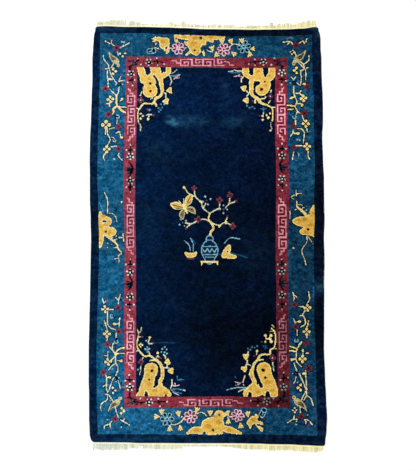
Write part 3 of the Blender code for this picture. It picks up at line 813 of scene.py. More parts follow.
tealLowLeft = {
    "stems": [
        [(-464, -622), (-462, -648), (-461, -668), (-450, -690), (-456, -722), (-474, -748), (-486, -780),
         (-498, -812)], [(-463, -634), (-478, -648), (-490, -658)],
        [(-461, -670), (-480, -682), (-498, -704)], [(-478, -604), (-477, -575), (-466, -562)],
        [(-465, -622), (-478, -604), (-494, -588)], [(-506, -554), (-505, -545)],
        [(-515, -722), (-507, -745), (-508, -790), (-500, -816)],
        [(-500, -825), (-505, -852), (-532, -872), (-534, -904)], [(-496, -826), (-478, -852), (-472, -862)],
        [(-450, -750), (-437, -793)], [(-524, -786), (-510, -776)],
        [(-520, -456), (-512, -480), (-505, -500)],
        [(-465, -500), (-488, -492), (-503, -474), (-505, -440), (-505, -406)], [(-526, -366), (-532, -342)],
        [(-526, -366), (-514, -356)], [(-505, -398), (-476, -398)], [(-450, -372), (-450, -352)],
        [(-450, -352), (-465, -338)], [(-450, -352), (-440, -322)], [(-443, -442), (-446, -488)],
        [(-446, -472), (-462, -472)], [(-460, -516), (-461, -540)], [(-450, -655), (-440, -656)],
        [(-502, -615), (-502, -645)], [(-520, -632), (-508, -632)], [(-515, -824), (-505, -824)],
        [(-452, -925), (-445, -940)], [(-462, -890), (-452, -925)],
        [(-476, -955), (-490, -972), (-514, -980), (-516, -994)], [(-488, -974), (-486, -990)],
        [(-435, -952), (-420, -960), (-390, -976)], [(-422, -958), (-416, -946)],
        [(-495, -742), (-506, -740)],
    ],
    "boughs": [[(-418, -592, 4), (-444, -598, 4.5), (-462, -618, 5.5), (-464, -634, 4)],
               [(-418, -620, 3.6), (-448, -620, 4), (-458, -626, 4)]],
    "goldQuads": [(-500, -662, 8, 0.95), (-508, -522), (-518, -397, 5)],
    "goldBuds": [(-436, -657), (-493, -740), (-468, -472, 180)],
    "redBlossoms": [(-524, -716, 0, 1.1), (-505, -574), (-447, -510), (-450, -389), (-463, -947, 20)],
    "redBuds": [(-525, -632, 0, 0.8), (-522, -824, 0, 0.8), (-435, -798, 0, 0.8), (-508, -353, 0, 0.7),
                (-485, -996, 0, 0.8), (-416, -940, 0, 0.7)],
    "lightRings": [(-483, -432, -100, 0.95), (-460, -561)],
    "strawDots": [(-475, -792, 6), (-462, -805, 6.4), (-474, -818, 6)],
    "creamDots": [(-430, -894, 6.6), (-418, -908, 7.6), (-432, -918, 6.6)],
    "paleDots": [(-430, -988, 5), (-502, -952, 4.5), (-444, -742, 4.5), (-458, -762, 4.5), (-488, -855, 4.5),
                 (-478, -698, 4), (-500, -612, 4.6)],
    "inkStrokes": [
        [(-500, -960, 3.4), (-498, -958, 3)], [(-430, -978, 4), (-431, -976, 3)],
        [(-466, -734, 4), (-452, -748, 6)], [(-474, -804, 4), (-472, -806, 3)],
        [(-432, -768, 4), (-430, -772, 4)], [(-438, -348, 4), (-436, -352, 4)],
        [(-532, -482, 4), (-530, -480, 3)],
    ],
    "dullDots": [(-426, -352, 4), (-524, -480, 4), (-534, -500, 4), (-424, -772, 4)],
    "smallBirds": [(-468, -872, 8, 1, 1, -1)],
}
tealLowRight = {
    "stems": [
        [(456, -600), (452, -630), (452, -655), (462, -672), (478, -686)], [(462, -590), (474, -562)],
        [(474, -572), (480, -562)], [(440, -668), (448, -690), (455, -706)],
        [(500, -706), (501, -745), (505, -800)], [(466, -720), (478, -745), (492, -778), (500, -800)],
        [(484, -722), (500, -720)], [(500, -808), (488, -830), (478, -852)],
        [(504, -806), (503, -828), (525, -846), (536, -880)], [(500, -835), (490, -852)],
        [(516, -456), (512, -478), (506, -492)], [(458, -502), (458, -528)],
        [(470, -432), (488, -430), (499, -452), (498, -474), (478, -486)], [(452, -470), (440, -446)],
        [(456, -462), (466, -460)], [(510, -368), (522, -348), (518, -308)],
        [(443, -352), (443, -330), (437, -312)], [(443, -326), (458, -336)], [(498, -406), (486, -424)],
        [(470, -383), (490, -385)], [(436, -650), (448, -648)], [(507, -542), (507, -532)],
        [(470, -890), (471, -914)], [(455, -950), (432, -950), (408, -966)], [(452, -948), (452, -960)],
        [(490, -952), (512, -954), (530, -976)], [(498, -958), (498, -972)],
        [(449, -742), (446, -758), (438, -770)], [(502, -620), (512, -618)], [(488, -632), (487, -620)],
        [(440, -930), (438, -944)],
    ],
    "boughs": [[(418, -584, 3.6), (440, -590, 4), (458, -598, 4.5)], [(418, -606, 3.6), (450, -610, 4)]],
    "goldQuads": [(484, -648, 0, 1.05), (506, -511), (511, -390, 5)],
    "goldTriads": [(474, -790, 184)],
    "goldBuds": [(432, -650, 180), (487, -608, 90), (488, -722), (468, -460)],
    "redBlossoms": [(516, -694, 0, 1.1), (504, -568), (450, -486), (445, -375), (475, -935, 20, 1.05)],
    "redBuds": [(520, -617, 0, 0.8), (527, -802), (463, -338, 0, 0.7), (434, -774, 0, 0.7),
                (434, -928, 0, 0.7), (499, -984, 0, 0.7)],
    "lightFlowers": [(451, -721)],
    "lightRings": [(454, -554)],
    "dullDots": [(526, -474, 3.6), (518, -527, 4.4)],
    "strawDots": [(433, -903, 5), (442, -893, 5), (443, -914, 5), (452, -903, 4.4)],
    "paleDots": [(450, -975, 5), (508, -929, 4.5), (459, -765, 4.5)],
    "inkStrokes": [
        [(508, -936, 4), (505, -936, 3)], [(443, -903, 3), (444, -904, 3)], [(488, -858, 4), (496, -860, 3)],
    ],
    "smallBirds": [(472, -868, 8, 1.05, -1, -1)],
}
tealMiddleLeft = {
    "dimStrokes": [[(-462, 168), (-460, 158)]],
    "blueStrokes": [[(-552, 145, 3.4), (-542, 128, 3.4), (-532, 94, 3)]],
    "stems": [
        [(-526, 198, 2.4), (-512, 168, 2.8), (-509, 125, 2.8), (-510, 90, 2.8)],
        [(-500, 92, 2.2), (-484, 91, 2.4), (-466, 72, 2.4), (-461, 50, 2.2)], [(-470, -140), (-454, -140)],
        [(-474, -85), (-456, -82)], [(-429, -12), (-426, -52)], [(-450, -33), (-430, -31)],
        [(-466, -28), (-462, -24)], [(-470, -44), (-460, -40)],
    ],
    "inkStrokes": [[(-476, 102, 2.2), (-462, 112, 2.2)], [(-460, 128, 2), (-455, 142, 2)]],
    "rock": {
        "limbs": [[(-547, 98, 6), (-542, 60, 18), (-541, 0, 17), (-540, -50, 13), (-545, -80, 8)],
                  [(-535, 58, 26), (-511, 50, 25)], [(-520, 2, 26), (-486, -2, 24)],
                  [(-505, -18, 16), (-482, -44, 8), (-456, -72, 5)]],
        "cuts": [[(-529, 50, 4), (-519, 50, 4)], [(-478, -38, 4), (-468, -34, 4)]],
        "holes": [(-516, -2, 5)],
        "ochre": [(-520, 30, 9), (-545, 20, 7), (-496, -12, 9), (-530, 76, 8), (-543, -50, 6)],
    },
    "boughs": [[(-458, -70, 4.5), (-452, -92, 4), (-438, -106, 4)]],
    "creamDots": [(-438, 150, 5)],
    "strawDots": [(-508, -63, 3.6), (-508, -82, 3.6), (-486, -67, 3.6)],
    "beigeStrokes": [[(-438, -114), (-452, -128), (-449, -145), (-450, -160)]],
}
tealMiddleRight = {
    "stems": [
        [(461, 152), (462, 126)], [(458, 212, 2.2), (459, 180, 2.4)], [(456, 193, 2.4), (485, 194, 2)],
        [(450, 186, 2.2), (433, 176, 2.2), (446, 163, 2)], [(425, 102, 2.4), (427, 84, 2.6), (424, 62, 2.2)],
        [(468, 136, 1.8), (484, 137, 2), (490, 130, 1.8)], [(489, 112, 1.8), (492, 122, 2), (500, 122, 1.8)],
        [(512, -26, 2.6), (510, -58, 2.6), (490, -86, 2.3), (487, -112, 2.3), (500, -148, 2.1),
         (505, -172, 2)], [(520, -30, 2.2), (534, -52, 1.9), (543, -66, 1.8)],
        [(450, 110, 2), (458, 112, 1.8)],
    ],
    "dimStrokes": [[(480, 160), (492, 168)], [(440, 20), (452, 14)]],
    "rock": {
        "limbs": [[(548, 132, 6), (540, 96, 16), (537, 50, 22), (537, 0, 20), (545, -18, 12)],
                  [(515, 46, 34), (470, 51, 23), (452, 52, 15)], [(520, 4, 28), (491, -2, 18)],
                  [(516, 72, 9), (490, 102, 7), (463, 124, 5)]],
        "cuts": [],
        "holes": [(518, 8, 5.6), (524, 90, 3)],
        "ochre": [(500, 60, 10), (530, 30, 9), (470, 56, 7), (505, -8, 8), (544, 90, 5)],
    },
    "creamDots": [(443, -86, 5)],
    "inkStrokes": [[(438, -54, 2.2), (456, -58, 2.2)], [(428, 170, 3), (425, 150, 3)]],
    "whiteDots": [(512, 128, 3.4), (511, 108, 3.6)],
}

tealTopEnd = {
    "stems": [[(110, 950), (124, 965), (138, 974), (176, 970)], [(-118, 953), (-104, 955)],
              [(0, 944), (12, 936), (30, 934)], [(-270, 955), (-252, 950)], [(-196, 952), (-186, 952)]],
    "redStrokes": [[(-286, 964), (-280, 960)], [(-258, 944), (-254, 941)]],
    "rock": {
        "limbs": [
            [(-163, 1015, 11), (-130, 1011, 12), (-80, 1008, 15), (-10, 1006, 18), (40, 1009, 14),
             (78, 1010, 12), (88, 1014, 7)], [(-58, 998, 42), (-62, 970, 39), (-58, 942, 29)],
            [(-24, 998, 28), (-14, 978, 12)], [(-164, 1004, 7), (-160, 994, 10)],
            [(-85, 935, 8), (-106, 918, 7)], [(-22, 938, 8), (-14, 916, 6)], [(14, 1002, 15), (26, 992, 11)],
            [(-96, 972, 12), (-108, 976, 7), (-116, 988, 4)], [(-98, 990, 9), (-108, 1000, 4)],
            [(-272, 1004, 8), (-236, 998, 14), (-208, 995, 14)], [(-270, 1015, 2.6), (-264, 1006, 6)],
            [(-285, 1004, 3), (-268, 1000, 8)], [(-283, 988, 2.6), (-272, 990, 5)],
            [(-266, 974, 4.6), (-262, 982, 4)], [(-230, 984, 20), (-213, 978, 20)],
            [(-234, 966, 14), (-222, 952, 9), (-217, 940, 4)],
            [(-204, 968, 9), (-203, 940, 8), (-206, 932, 9), (-210, 922, 3)],
        ],
        "cuts": [[(-26, 952, 6), (-24, 940, 5)], [(-213, 950, 3.4), (-208, 958, 3)]],
        "holes": [(-32, 1007, 6), (-64, 942, 5), (-160, 1003, 3), (-84, 1026, 6), (-8, 1024, 6),
                  (-263, 986, 3.4), (-104, 992, 3)],
        "ochre": [(-70, 975, 11), (-60, 1004, 9), (20, 1010, 9), (-120, 1010, 6), (-230, 985, 9),
                  (-50, 925, 7)],
    },
    "peonies": [(-149, 952), (88, 945, 20)],
    "paleDots": [(-149, 952, 5)],
    "bluePeonies": [(192, 960, 10)],
    "blueCurls": [(-288, 935)],
    "tulipBuds": [(80, 986, 10), (125, 986, 20), (182, 990, 8), (236, 949, -80, 0.85), (222, 924, 200),
                  (138, 925, 230), (28, 950, 15), (50, 922, 190)],
}
tealLowEnd = {
    "stems": [[(-192, -970), (-168, -976), (-140, -968), (-115, -944)],
              [(-52, -922), (-24, -914), (-2, -932)], [(112, -936), (190, -936)], [(110, -924), (106, -940)],
              [(-122, -936), (-128, -936)], [(270, -936), (282, -942)]],
    "redStrokes": [[(262, -922), (266, -916)], [(286, -948), (294, -948)]],
    "rock": {
        "limbs": [
            [(-98, -1017, 7), (-62, -1003, 18), (-20, -1006, 20), (40, -1002, 24), (92, -1010, 14)],
            [(88, -992, 15), (125, -1004, 17), (170, -1018, 7)], [(0, -976, 29), (0, -995, 28)],
            [(10, -966, 26), (52, -962, 30), (55, -985, 34)], [(56, -945, 28), (62, -930, 27)],
            [(88, -928, 10), (106, -914, 9), (112, -910, 6)], [(-30, -1010, 14), (60, -1012, 12)],
            [(208, -968, 10), (232, -954, 21), (248, -942, 14)], [(246, -926, 6), (258, -934, 5)],
            [(218, -976, 12), (218, -990, 5), (219, -996, 3)],
            [(248, -960, 11), (268, -966, 9), (277, -972, 7)],
            [(256, -984, 5), (273, -996, 10), (276, -1006, 5)], [(250, -974, 8), (258, -984, 6)],
        ],
        "cuts": [[(-14, -1034, 10), (-13, -1017, 6)], [(84, -1014, 4), (96, -1024, 7)],
                 [(256, -976, 3), (270, -981, 3), (284, -982, 3)], [(263, -949, 8), (268, -948, 8)]],
        "holes": [(63, -927, 5), (31, -1003, 5)],
        "ochre": [(10, -985, 12), (60, -965, 10), (-50, -1003, 8), (110, -1004, 8), (232, -952, 9),
                  (40, -935, 7)],
    },
    "peonies": [(-82, -936), (154, -930, 10, 0.92)],
    "bluePeonies": [(-200, -948, 0, 0.98)],
    "blueCurls": [(285, -916, 60)],
    "tulipBuds": [(-228, -914), (-250, -936, 90), (-143, -923, 10), (-52, -904, -20), (17, -920),
                  (-186, -992, 180), (-134, -990, 180), (108, -957, 180), (170, -978, 190), (206, -926, 10)],
}

# red border: a blossom group above and below each side's middle. For each: its x, the y of its leaf spray
# and which way it faces; how far from the spray its two twigs are; the same and the turn of its blossoms
borderGroups = [
    (-394, 313, 1, (106, -85), ((74, 180), (-54, 0))),
    (387, 329, -1, (96, -91), ((61, 0), (-58, 180))),
    (-392, -270, 1, (100, -104), ((59, 0), (-63, 180))),
    (382, -267, -1, (96, -104), ((62, 0), (-58, 0))),
]
redBorderPlan = {
    "leafCrosses": [(-384, 874), (380, 874, 0, 1, -1), (-378, -858, 0, 1, 1, -1), (384, -850, 0, 1, -1, -1)],
    "whiteBlossoms": [(-301, 878, 180), (293, 880, 180), (-393, 818, 180), (389, 824, 180),
                      (-291, -863, 180), (302, -859, 180), (-389, -789), (388, -789)],
    "inkStrokes": [
        [(-365, 884), (-352, 888)], [(-275, 882), (-258, 884), (-228, 876)], [(-258, 898), (-256, 868)],
        [(-392, 798), (-388, 780)], [(-404, 782), (-378, 786)], [(-386, 770), (-382, 760)],
        [(-400, 850), (-402, 842)], [(365, 884), (348, 886)], [(272, 882), (250, 880), (222, 876)],
        [(250, 895), (250, 866)], [(388, 798), (390, 780)], [(376, 788), (408, 784)],
        [(388, 775), (388, 765)], [(384, 852), (388, 842)], [(-360, -862), (-330, -866), (-314, -862)],
        [(-270, -862), (-242, -862), (-208, -860)], [(-246, -850), (-238, -880)],
        [(-392, -738), (-390, -765)], [(-408, -752), (-374, -752)], [(-390, -815), (-390, -835)],
        [(360, -860), (340, -862)], [(278, -860), (250, -860), (226, -858)], [(258, -848), (258, -874)],
        [(388, -722), (388, -762)], [(376, -746), (406, -742)], [(388, -812), (388, -832)],
    ],
    "whiteDots": [
        (-360, 899), (-343, 866), (-260, 899), (-256, 864), (-222, 868), (-373, 785), (-409, 773),
        (-385, 755), (250, 894), (218, 869), (250, 862), (334, 865), (350, 899), (411, 780), (388, 760),
        (-393, -728), (-413, -757), (-369, -758), (-335, -845), (-245, -847), (-237, -884), (-200, -862),
        (387, -716), (372, -753), (411, -741), (221, -856), (258, -881), (336, -845), (362, -882),
    ],
}
# each fret: left, right, low, high, and the length of a cell
fretBoxes = [
    (-411, -371, 500, 705, 8.5), (-411, -373, -86, 138, 8.9), (-408, -368, -666, -455, 8.6),
    (362, 406, 500, 712, 8.8), (364, 408, -90, 138, 9.2), (364, 406, -660, -455, 8.6),
    (-140, 92, 858, 896, 9.6), (-100, 130, -885, -849, 9.6),
]
# the little zigzags that end each side fret: x, y, turn and whether it is mirrored
fretTails = [
    (-391, 708, 0, 1), (-391, 496, 180, -1), (-392, 141, 0, 1), (-392, -89, 180, 1), (-388, -452, 0, 1),
    (-388, -669, 180, 1), (384, 716, 0, -1), (384, 496, 180, 1), (386, 142, 0, 1), (386, -94, 180, -1),
    (385, -452, 0, -1), (385, -663, 180, -1),
]
# and those that end the two short frets
endTails = [[(-140, 873), (-156, 873), (-160, 886), (-181, 887)],
            [(92, 882), (115, 879), (118, 863), (142, 862)],
            [(-100, -878), (-115, -877), (-120, -865), (-138, -862)],
            [(130, -858), (150, -856), (158, -868), (184, -870)]]

# middle of the field: a generic vase of blossom, with a butterfly and a low bowl beside it
middlePlan = {
    "dimStrokes": [[(60, -120), (110, -112), (160, -120), (205, -136)], [(-75, -40), (-60, -62)]],
    "paleStrokes": [
        [(-84, -100, 2.4), (-92, -70, 2.6), (-116, -48, 2)],
        [(-70, -102, 2.4), (-70, -66, 2.6), (-84, -36, 2)],
        [(90, -60, 2.4), (120, -34, 2.6), (168, -40, 2.6)],
    ],
    "stems": [
        [(24, 40), (-6, 60), (-40, 58), (-80, 38), (-120, 46)], [(-80, 40), (-104, 20)],
        [(14, 92), (-20, 118), (-30, 150), (-58, 176), (-66, 214)], [(-56, 176), (-92, 192), (-112, 218)],
        [(22, 96), (60, 116), (84, 112), (112, 140), (118, 178)], [(112, 140), (146, 152)],
        [(26, 42), (62, 30), (92, 44), (128, 30)], [(62, 116), (66, 150)], [(92, 44), (104, 70)],
        [(-18, 120), (-2, 150)],
    ],
    "boughs": [[(14, -36, 7), (20, -6, 6.5), (34, 16, 6), (22, 42, 5.5), (8, 62, 5), (16, 92, 4.5)]],
    "redBlossoms": [(-44, 60, 0, 1.05), (66, 160), (118, 186, 20), (-66, 222, 0, 0.9), (132, 26)],
    "lightFlowers": [(-2, 158, 20, 1.2), (84, 112, 0, 1.1), (-124, 44, 30, 1.1)],
    "redBuds": [(-106, 14), (150, 154), (106, 76, 0, 0.8)],
    "goldBuds": [(-30, 150, 120), (-116, 222, 130), (62, 28, -60), (98, 44, 70)],
}


def middleVase(board):
    pen = Pen(board, 14, 0, only="field")
    pen.draw([[(0, -40, 20), (0, -58, 14), (0, -76, 32), (0, -96, 44), (0, -118, 36), (0, -136, 20),
               (0, -144, 26)]], ((3.2, "shade"), (0.0, "paleBlue"), (-4.4, "tealShade")))
    for y, half in ((-46, 14), (-78, 34), (-120, 32), (-132, 20)):
        pen.draw([[(-half, y, 2), (half, y, 2)]], plain("paleBlue"))
    pen.draw([[(12 * step, -90 if step % 2 else -108) for step in range(-3, 4)]],
             plain("paleBlue"), half=2.3, straight=True)
    stand = Pen(board, 14, -156, only="field")
    stand.draw([[(-40, 0, 6), (40, 0, 6)], [(-36, 0, 5), (-42, -16, 4)], [(36, 0, 5), (42, -16, 4)]],
               fills["rock"])
    bowl = Pen(board, -82, -118, only="field")
    bowl.draw([[(-26, 6, 7), (-12, -4, 13), (12, -4, 13), (26, 6, 7)]], fills["rock"])
    bowl.draw([[(-14, -22, 4), (14, -22, 4)]], fills["cherry"])
    rock = Pen(board, 108, -96, only="field")
    rock.draw([[(-20, -30, 14), (-6, -6, 18), (4, 16, 12)], [(4, -30, 16), (34, -36, 10)]],
              fills["rock"], [[(-2, -8, 4)]])


def butterfly(pen):
    pen.draw([[(side * 6, 6, 8), (side * 34, 30, 20), (side * 52, 44, 12)] for side in (-1, 1)],
             fills["rock"])
    pen.draw([[(side * 6, -6, 7), (side * 28, -22, 15), (side * 34, -44, 4)] for side in (-1, 1)],
             ((3.2, "shade"), (0.0, "beige"), (-4.4, "olive")))
    for side in (-1, 1):
        pen.draw([[(side * 12, 10, 1.8), (side * 32, 28, 2.4), (side * 50, 42, 1.8)],
                  [(side * 16, 4, 1.6), (side * 44, 22, 2)]], plain("brown"))
        pen.draw([[(side * 28, -22, 5)]], plain("peonyHeart"))
        pen.draw([[(side * 3, 24, 2), (side * 14, 46, 2)]], fills["stem"])
    pen.draw([[(0, 22, 5), (0, 0, 6), (0, -26, 3.5)]], ((2.4, "shade"), (0.0, "cream")))


def drawDesign(board):
    drawPlan(board, redBorderPlan)
    for plan in (tealTopEnd, tealLowEnd, tealTopLeft, tealTopRight, tealLowLeft, tealLowRight,
                 tealMiddleLeft, tealMiddleRight):
        drawPlan(board, plan, "teal")
    for plan in (fieldTopLeft, fieldTopRight, fieldLowLeft, fieldLowRight):
        drawPlan(board, plan, "field")
    for x, y, way, (upperTwig, lowerTwig), blossoms in borderGroups:
        dottedTwig(Pen(board, x, y + upperTwig, 0, (way, 1)))
        dottedTwig(Pen(board, x, y + lowerTwig, 180, (way, 1)))
        leafSpray(Pen(board, x, y, 0, (way, 1)))
        for away, turn in blossoms:
            whiteBlossom(Pen(board, x, y + away, turn, (way, 1)))
    for *box, cell in fretBoxes:
        drawFret(board, box, cell)
    for x, y, turn, flip in fretTails:
        tail = [(8, -3, 2.8), (8, 8, 2.8), (-6, 8, 2.8), (-6, 24, 2.8), (-14, 24, 2.8), (-14, 30, 2.8)]
        Pen(board, x, y, turn, (flip, 1), only="red").draw([tail], plain("pink"), straight=True)
    Pen(board, only="red").draw(endTails, plain("pink"), half=2.6, straight=True)
    drawPlan(board, middlePlan)
    middleVase(board)
    butterfly(Pen(board, -112, 118, 25, only="field"))


print("pile: knots")

pileValues = {
    "profileIn": (0.0, 0.5, 2.7, 7.0),  # mm in from the edge of the pile
    "profileUp": (3.8, 8.2, 10.2, 11.0),  # mm over the floor
    "waveHeight": 0.6,
    "waveMiddle": 0.7,
    "knotJitter": 0.28,
    "carved": 0.9,  # how deep the shears cut round each motif
    "reliefFrom": 1.5,  # mm in from the edge where the relief starts
    "reliefOver": 4,  # and over which it grows
    "footHeight": 3.0,
    "smoothAngle": 60,
}
# each piece of the pile, and the ground it is knotted on
pileGrounds = {"guardBorder": "guard", "tealBorder": "teal", "redBorder": "red",
               "fieldLower": "field", "fieldUpper": "field"}
dyeAndShadeValues = {
    "leanFrom": -600, "leanOver": 1200,  # mm over which the painted sheen on the left turns to painted shade on the right
    "leanWander": 0.12,
    "streaks": 0.06,  # how strongly each of these changes every wool
    "lots": 0.05,
    "knotShade": 0.09,  # how much one knot differs from the next
    "fleck": 4.0,
    "worn": (44, 98, 126),
    "wornReach": 1.35,
    "wornWander": (0.2, 1.3),
    "cotton": (196, 184, 150),
    "cottonShare": 0.22,  # cotton that shows between the knots on the back
    "exposure": 1.13,  # how strongly the studio lights the rug
}
# layers of patches that work as one, and the share of each
mottles = {
    "streaks": {"longStreaks": 0.55, "shortStreaks": 0.45},
    "lots": {"dyeLots": 1},
    "blots": {"blots": 0.6, "smallBlots": 0.4},
    "speckle": {"speckle": 0.6, "fineSpeckle": 0.4},
    "patches": {"patches": 1},
}
# abrash: how strongly the dye lots and the blots change some wools
abrash = {("teal",): (0.12, 0.22), ("field", "guard"): (0.26, 0.5)}
# how mottled each ground is: in patches of a few knots, in larger ones, and in streaks along the rows
mottlePlaces = {"teal": (56, 30, 0.22), "red": (46, 22, 0.06), "field": (17, 12, 0.18),
                "guard": (24, 22, 0.26)}
# how much of its ground's painted light and shade a motif shares
motifLightAndShadeShare = {"field": 0.1, "teal": 0.25, "red": 1.1, "guard": 1.0}
# worn and faded places in the navy: x, y, half width, half length, how strong
wornPlaces = [
    (573, -280, 28, 44, 0.5), (588, 1020, 30, 46, 0.34), (-300, -1046, 150, 14, 0.12),
    (-193, 577, 28, 24, 0.8), (-157, 564, 36, 23, 0.95), (-108, 566, 56, 34, 0.3), (-198, -566, 60, 5, 0.55),
    (-35, 568, 56, 34, 0.36), (132, 564, 54, 32, 0.34), (97, 740, 28, 50, 0.16), (-250, 420, 90, 60, 0.16),
    (-300, 60, 60, 120, 0.12), (-90, 640, 120, 50, 0.05), (250, -100, 110, 120, 0.1),
    (130, 690, 70, 90, 0.07), (210, 580, 50, 60, 0.14), (-490, 1056, 120, 18, 0.15),
    (555, 1058, 44, 12, 0.3), (-330, -1055, 260, 13, 0.2), (10, -1056, 100, 11, 0.16),
]
# painted light and shade: places where a ground reads darker or lighter than the rest of it
paintedLightAndShadePlaces = {
    "field": [
        (230, -560, 260, 340, -0.48), (10, -420, 150, 260, -0.2), (290, 60, 130, 260, -0.12),
        (180, 660, 260, 240, 0.22), (-20, 120, 140, 160, -0.12), (-300, -500, 120, 200, -0.08),
        (-300, 60, 110, 300, -0.1), (-290, 250, 90, 80, 0.22), (-290, -90, 90, 100, 0.13),
        (-150, -100, 70, 100, -0.15), (-10, 300, 80, 100, -0.12), (270, 300, 80, 100, -0.13),
    ],
    "teal": [
        (-490, 60, 120, 150, -0.1), (-200, 975, 330, 110, -0.19), (-495, 960, 100, 120, -0.12),
        (490, 930, 120, 100, -0.13), (490, -380, 120, 370, -0.3), (547, -302, 9, 26, 0.9),
        (490, 20, 110, 200, -0.1), (490, 480, 120, 220, 0.06), (-490, -790, 110, 110, 0.16),
        (-490, 725, 90, 80, 0.12), (485, 725, 90, 80, 0.12), (225, -960, 80, 70, -0.08),
        (-300, -960, 260, 90, 0.16), (300, -960, 260, 90, -0.08), (-490, 440, 120, 90, -0.06),
        (220, 965, 90, 70, -0.1),
    ],
    "red": [(386, -520, 80, 380, -0.3), (310, -865, 170, 60, -0.3), (386, 660, 80, 200, 0.16),
            (-390, -720, 80, 160, 0.1), (-300, -865, 170, 50, 0.04), (-20, -865, 90, 50, -0.06),
            (-390, 120, 80, 160, -0.08), (300, 880, 130, 44, -0.16), (-320, 880, 120, 40, -0.1)],
    "guard": [
        (580, -520, 60, 170, -0.55), (580, 60, 60, 330, -0.24), (-20, 1045, 260, 40, -0.3),
        (350, 1045, 200, 40, -0.26), (-340, -1050, 190, 40, 0.06), (585, -900, 60, 110, 0.1),
        (-585, 0, 60, 300, -0.2), (-585, 900, 60, 110, -0.14), (585, 700, 60, 110, 0.14),
        (-330, 1045, 200, 40, -0.2), (200, -1050, 200, 40, -0.06), (580, -100, 40, 110, -0.2),
        (580, 300, 40, 110, -0.16), (-375, 1040, 90, 30, -0.16), (375, 1040, 90, 30, -0.2),
        (75, -1048, 90, 30, 0.15), (-225, -1048, 90, 30, -0.12), (575, -900, 40, 110, 0.14),
        (-575, -300, 40, 110, -0.14), (-575, 100, 40, 110, -0.14),
    ],
}


def linearColour(values):
    values = np.clip(np.asarray(values, float) / 255, 0, 1)
    return np.where(values <= 0.04045, values / 12.92, ((values + 0.055) / 1.055) ** 2.4)


def setMode(mode):
    bpy.ops.object.mode_set(mode=mode)


def pick(piece):
    bpy.ops.object.select_all(action="DESELECT")
    bpy.context.view_layer.objects.active = piece
    piece.select_set(True)


def editAll(operator, **options):
    # runs one edit-mode operator on all of the active piece
    setMode("EDIT")
    bpy.ops.mesh.select_all(action="SELECT")
    operator(**options)
    setMode("OBJECT")


def editOpenEdges(operator, **options):
    # runs one edit-mode operator on the edges round a piece's openings
    setMode("EDIT")
    bpy.ops.mesh.select_mode(type="EDGE")
    bpy.ops.mesh.select_all(action="DESELECT")
    bpy.ops.mesh.select_non_manifold()
    operator(**options)
    setMode("OBJECT")


def faceOutwards():
    editAll(bpy.ops.mesh.normals_make_consistent, inside=False)


def smooth(angle):
    bpy.ops.object.shade_smooth_by_angle(angle=math.radians(angle))


def readAll(items, name, width=1, kind=float):
    values = np.zeros(len(items) * width, kind)
    items.foreach_get(name, values)
    return values.reshape(-1, width) if width > 1 else values


def placePoints(piece, x, y, z):
    # moves a piece's points to places given in millimetres
    piece.data.vertices.foreach_set("co", (np.column_stack([x, y, z]) / 1000).ravel())
    piece.data.update()


def newGrid(name, columns, rows):
    # a flat grid with that many faces each way, and which grid crossing each of its points is
    bpy.ops.object.select_all(action="DESELECT")
    bpy.ops.mesh.primitive_grid_add(x_subdivisions=columns, y_subdivisions=rows, size=2)
    grid = bpy.context.object
    grid.name = grid.data.name = name
    points = readAll(grid.data.vertices, "co", 3)
    across = np.rint((points[:, 0] + 1) / 2 * columns).astype(int)
    along = np.rint((points[:, 1] + 1) / 2 * rows).astype(int)
    return grid, across, along


def layGrid(name, x, y, z):
    # a grid with its crossings at the places given
    grid, across, along = newGrid(name, x.shape[1] - 1, x.shape[0] - 1)
    placePoints(grid, x[along, across], y[along, across], z[along, across])
    return grid


def paintFaces(piece, faceColours):
    # one colour for each face, kept on its corners
    corners = readAll(piece.data.polygons, "loop_total", kind=int)
    colours = np.repeat(np.column_stack([faceColours, np.ones(len(faceColours))]), corners, axis=0)
    wool = piece.data.color_attributes.new("wool", "FLOAT_COLOR", "CORNER")
    wool.data.foreach_set("color", colours.astype(np.float32).ravel())


def mottled(x, y, name):
    return sum(share * cloud(x, y, layer) for layer, share in mottles[name].items()) - 0.5


